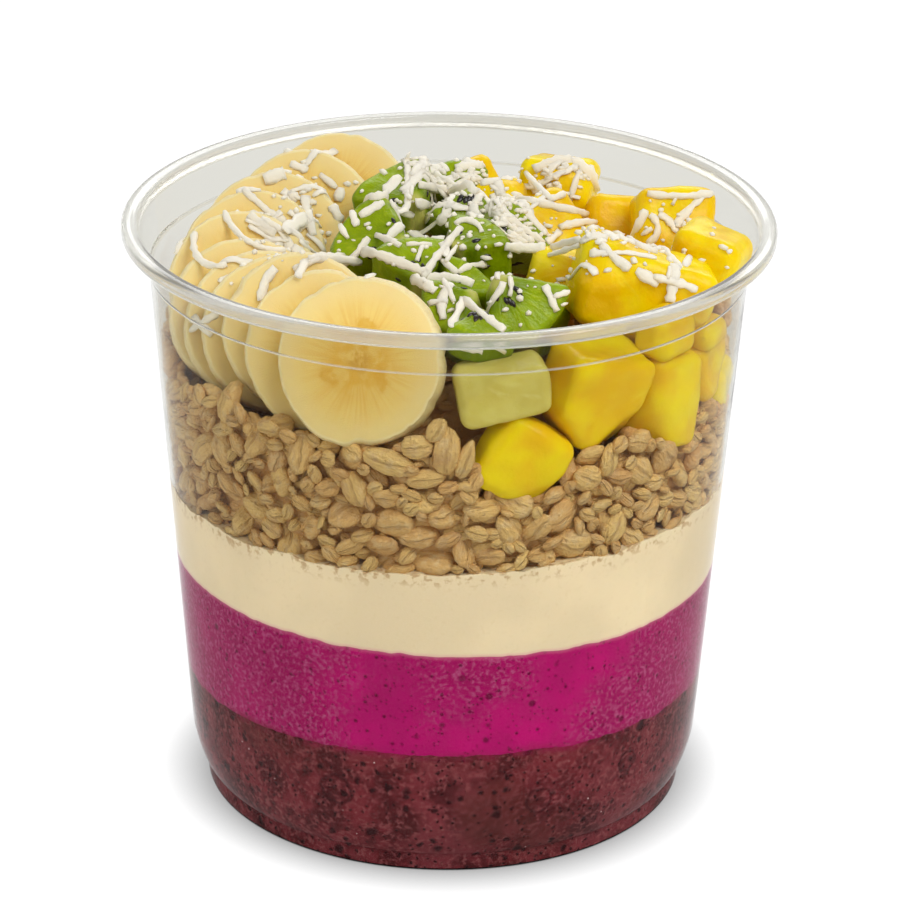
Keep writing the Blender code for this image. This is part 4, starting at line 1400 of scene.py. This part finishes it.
def settle_line(tree, line, aim, stiffness):
    """Lets a line of points fall along the aim on to the fruit, bending no more than the stiffness."""
    far = 90 * MM
    falls = []
    for point in line:
        hit = tree.ray_cast(point - aim * far, aim)
        falls.append(hit[3] if hit[0] is not None else 2 * far)
    rest = list(falls)
    for _ in range(80):
        for i in range(len(rest)):
            if 0 < i < len(rest) - 1:
                allowed = (rest[i - 1] + rest[i + 1]) / 2 + stiffness
            elif i == 0:
                allowed = 2 * rest[1] - rest[2] + stiffness
            else:
                allowed = 2 * rest[-2] - rest[-3] + stiffness
            rest[i] = min(falls[i], allowed)
    if min(falls) > 1.9 * far or max(rest) - min(rest) > 16 * MM:
        return None
    return [point + aim * (fall - far) for point, fall in zip(line, rest)]


def shred(scatter, rng, line, aim, width, thick):
    """A ragged, blunt ribbon along a settled line."""
    count = len(line)
    rings = []
    roll = rng.uniform(-0.5, 0.5)
    drift = Vector((rng.uniform(0, 90), rng.uniform(0, 90), 0))
    for i, point in enumerate(line):
        along = (line[min(i + 1, count - 1)] - line[max(i - 1, 0)]).normalized()
        side = along.cross(-aim).normalized()
        up = side.cross(along).normalized()
        turn = roll * (i / count - 0.5)
        side, up = side * math.cos(turn) + up * math.sin(turn), up * math.cos(turn) - side * math.sin(turn)
        end = min(i, count - 1 - i)
        size = 0.78 if end == 0 else 1.0
        ragged_edge = 1.08 + 0.6 * noise.noise(drift + Vector((0, 0, i * 0.9)))
        half = width / 2 * size * ragged_edge
        deep = thick / 2 * size * rng.uniform(0.9, 1.15)
        centre = point - aim * (thick * 0.4)
        ring = []
        for k in range(SHRED_SIDES):
            angle = 2 * math.pi * (k + 0.5) / SHRED_SIDES
            rough = rng.uniform(0.8, 1.2)
            ring.append(centre + side * (half * rough * math.cos(angle) * 1.08)
                        + up * (deep * rough * math.sin(angle)))
        rings.append(ring)
    points = [p for ring in rings for p in ring]
    faces = []
    for i in range(count - 1):
        for k in range(SHRED_SIDES):
            n = (k + 1) % SHRED_SIDES
            a, b = i * SHRED_SIDES, (i + 1) * SHRED_SIDES
            faces.append((a + k, a + n, b + n, b + k))
    faces.append(tuple(range(SHRED_SIDES))[::-1])
    faces.append(tuple((count - 1) * SHRED_SIDES + k for k in range(SHRED_SIDES)))
    scatter.add(np.array(points), faces, rng.random())


def shred_line(start, right, up, heading, length, curl):
    """A curved line that a shred starts from, in the plane of the right and up directions."""
    steps = max(3, round(length / (0.75 * MM)))
    step = length / steps
    point = start.copy()
    line = [point.copy()]
    for _ in range(steps):
        point = point + (right * math.cos(heading) + up * math.sin(heading)) * step
        heading += curl / steps
        line.append(point.copy())
    return line


class ACAIBOWL_OT_coconut(bpy.types.Operator):
    """Strews shredded coconut and its crumbs over the fruit"""
    bl_idname = "acai_bowl.coconut"
    bl_label = "Shredded Coconut"

    def execute(self, context):
        settings = context.scene.bowl_coconut
        flesh = [o for o in bpy.data.objects if o.name.endswith("_flesh")]
        tree = tree_of(flesh + [bpy.data.objects["granola_core"]])
        rng = random.Random(21)
        scatter = Scatter()
        crumbs = Scatter()
        deselect()
        bpy.ops.mesh.primitive_ico_sphere_add(subdivisions=1, radius=1.0)
        ball = bpy.context.active_object
        bit = coordinates(ball)
        bit_faces = [tuple(p.vertices) for p in ball.data.polygons]
        bpy.data.objects.remove(ball)
        right, back_way = Vector((1, 0, 0)), Vector((0, 1, 0))
        for across, up, heading, length, width, curl in LAID_SHREDS:
            start = right * (across * MM) + UPWARDS * (up * MM)
            line = shred_line(start, right, UPWARDS, math.radians(heading), length * MM, math.radians(curl))
            fallen = settle_line(tree, line, LOOKING, 0.06 * MM)
            if fallen:
                shred(scatter, rng, fallen, LOOKING, width * MM, rng.uniform(0.55, 0.85) * MM)
        for x, y, across, back, count, bits in COCONUT_PATCHES:
            for _ in range(count):
                start = Vector((x + rng.gauss(0, 0.5) * across, y + rng.gauss(0, 0.5) * back, 100)) * MM
                length = rng.choice((rng.uniform(2, 5), rng.uniform(3, 8), rng.uniform(6, 12))) * MM
                line = shred_line(start, right, back_way, rng.uniform(0, 6.28), length, rng.gauss(0, 0.7))
                fallen = settle_line(tree, line, FALLING, 0.06 * MM)
                if fallen:
                    shred(scatter, rng, fallen, FALLING, settings.width * rng.uniform(0.6, 1.3),
                          rng.uniform(0.45, 0.7) * MM)
            for _ in range(bits):
                px = x + rng.gauss(0, 0.55) * across
                py = y + rng.gauss(0, 0.55) * back
                start = Vector((px, py, 100)) * MM - FALLING * 60 * MM
                hit = tree.ray_cast(start, FALLING)[0]
                if hit is None:
                    continue
                size = rng.choice((rng.uniform(0.25, 0.6), rng.uniform(0.5, 0.95))) * MM
                rough = np.array([[rng.uniform(0.7, 1.3)] for _ in range(len(bit))])
                shape = bit * rough * np.array([size * rng.uniform(0.7, 1.8), size * 0.8, size * 0.7])
                turn = np.array(Matrix.Rotation(rng.uniform(0, 6.28), 3, "Z"))
                crumbs.add(shape @ turn + np.array(hit), bit_faces, rng.random())
        material = coconut_finish(settings.colour)
        give(scatter.build("coconut_shreds"), material)
        give(crumbs.build("coconut_crumbs"), material)
        return {"FINISHED"}


# ---- the stage ------------------------------------------------------------------------------------------------

def area_light(name, place, target, size, power, colour=(1.0, 1.0, 1.0)):
    deselect()
    bpy.ops.object.light_add(type="AREA", location=place)
    lamp = bpy.context.active_object
    lamp.name = name
    lamp.data.shape = "RECTANGLE"
    lamp.data.size, lamp.data.size_y = size
    lamp.data.energy = power
    lamp.data.color = colour
    lamp.rotation_euler = (Vector(target) - Vector(place)).to_track_quat("-Z", "Y").to_euler()
    return lamp


class ACAIBOWL_OT_stage(bpy.types.Operator):
    """Sets the pale floor, the soft studio light and the camera"""
    bl_idname = "acai_bowl.stage"
    bl_label = "Stage"

    def execute(self, context):
        settings = context.scene.bowl_stage
        deselect()
        bpy.ops.mesh.primitive_plane_add(size=6.0, location=(0, 0, 0))
        floor = bpy.context.active_object
        floor.name = "floor"
        floor.data.materials.append(floor_finish(settings.floor))
        world = bpy.data.worlds.new("studio")
        context.scene.world = world
        world.use_nodes = True
        tree = world.node_tree
        background = tree.nodes["Background"]
        background.inputs["Color"].default_value = (1.0, 1.0, 1.0, 1.0)
        background.inputs["Strength"].default_value = 0.34
        seen = tree.nodes.new("ShaderNodeBackground")
        seen.inputs["Color"].default_value = (1.0, 1.0, 1.0, 1.0)
        seen.inputs["Strength"].default_value = 1.0
        path = tree.nodes.new("ShaderNodeLightPath")
        mix = tree.nodes.new("ShaderNodeMixShader")
        tree.links.new(path.outputs["Is Camera Ray"], mix.inputs[0])
        tree.links.new(background.outputs[0], mix.inputs[1])
        tree.links.new(seen.outputs[0], mix.inputs[2])
        tree.links.new(mix.outputs[0], tree.nodes["World Output"].inputs["Surface"])
        middle = (0, 0, 0.06)
        area_light("key", (0.45, -0.5, 0.95), middle, (0.6, 0.6), 7.1)
        area_light("fill", (-0.8, -0.45, 0.45), middle, (0.7, 0.7), 1.8)
        area_light("back", (0.1, 0.75, 0.6), middle, (0.8, 0.4), 3.0)
        forward = Vector((0.000776, 0.918472, -0.395484))
        up = Vector((-0.012126, 0.395464, 0.918402))
        bpy.ops.object.camera_add(location=(0.0, -0.73695, 0.38046))
        camera = bpy.context.active_object
        right = forward.cross(up)
        camera.rotation_euler = Matrix([right, up, -forward]).transposed().to_euler()
        camera.data.lens = settings.lens
        camera.data.sensor_width = 36.0
        context.scene.camera = camera
        context.scene.view_settings.view_transform = "Standard"
        return {"FINISHED"}


# ---- the add-on ---------------------------------------------------------------------------------------------------

PIECES = (
    ACAIBOWL_OT_cup,
    ACAIBOWL_OT_layers,
    ACAIBOWL_OT_granola,
    ACAIBOWL_OT_banana,
    ACAIBOWL_OT_kiwi,
    ACAIBOWL_OT_mango,
    ACAIBOWL_OT_coconut,
    ACAIBOWL_OT_stage,
)
SETTINGS = {
    "bowl_cup": CupSettings,
    "bowl_layers": LayerSettings,
    "bowl_granola": GranolaSettings,
    "bowl_fruit": FruitSettings,
    "bowl_coconut": CoconutSettings,
    "bowl_stage": StageSettings,
}


class ACAIBOWL_PT_panel(bpy.types.Panel):
    """The bowl's settings and its pieces"""
    bl_label = "Acai Bowl"
    bl_idname = "ACAIBOWL_PT_panel"
    bl_space_type = "VIEW_3D"
    bl_region_type = "UI"
    bl_category = "Acai Bowl"

    def draw(self, context):
        for name, group in SETTINGS.items():
            box = self.layout.box()
            for key in group.__annotations__:
                box.prop(getattr(context.scene, name), key)
        for piece in PIECES:
            self.layout.operator(piece.bl_idname)


def register():
    for group in SETTINGS.values():
        bpy.utils.register_class(group)
    for name, group in SETTINGS.items():
        setattr(bpy.types.Scene, name, bpy.props.PointerProperty(type=group))
    for piece in PIECES:
        bpy.utils.register_class(piece)
    bpy.utils.register_class(ACAIBOWL_PT_panel)


def unregister():
    bpy.utils.unregister_class(ACAIBOWL_PT_panel)
    for piece in reversed(PIECES):
        bpy.utils.unregister_class(piece)
    for name, group in SETTINGS.items():
        delattr(bpy.types.Scene, name)
        bpy.utils.unregister_class(group)


def main():
    register()
    bpy.ops.acai_bowl.stage()
    bpy.ops.acai_bowl.cup()
    bpy.ops.acai_bowl.layers()
    bpy.ops.acai_bowl.granola()
    bpy.ops.acai_bowl.banana()
    bpy.ops.acai_bowl.kiwi()
    bpy.ops.acai_bowl.mango()
    bpy.ops.acai_bowl.coconut()


if __name__ == "__main__":
    main()
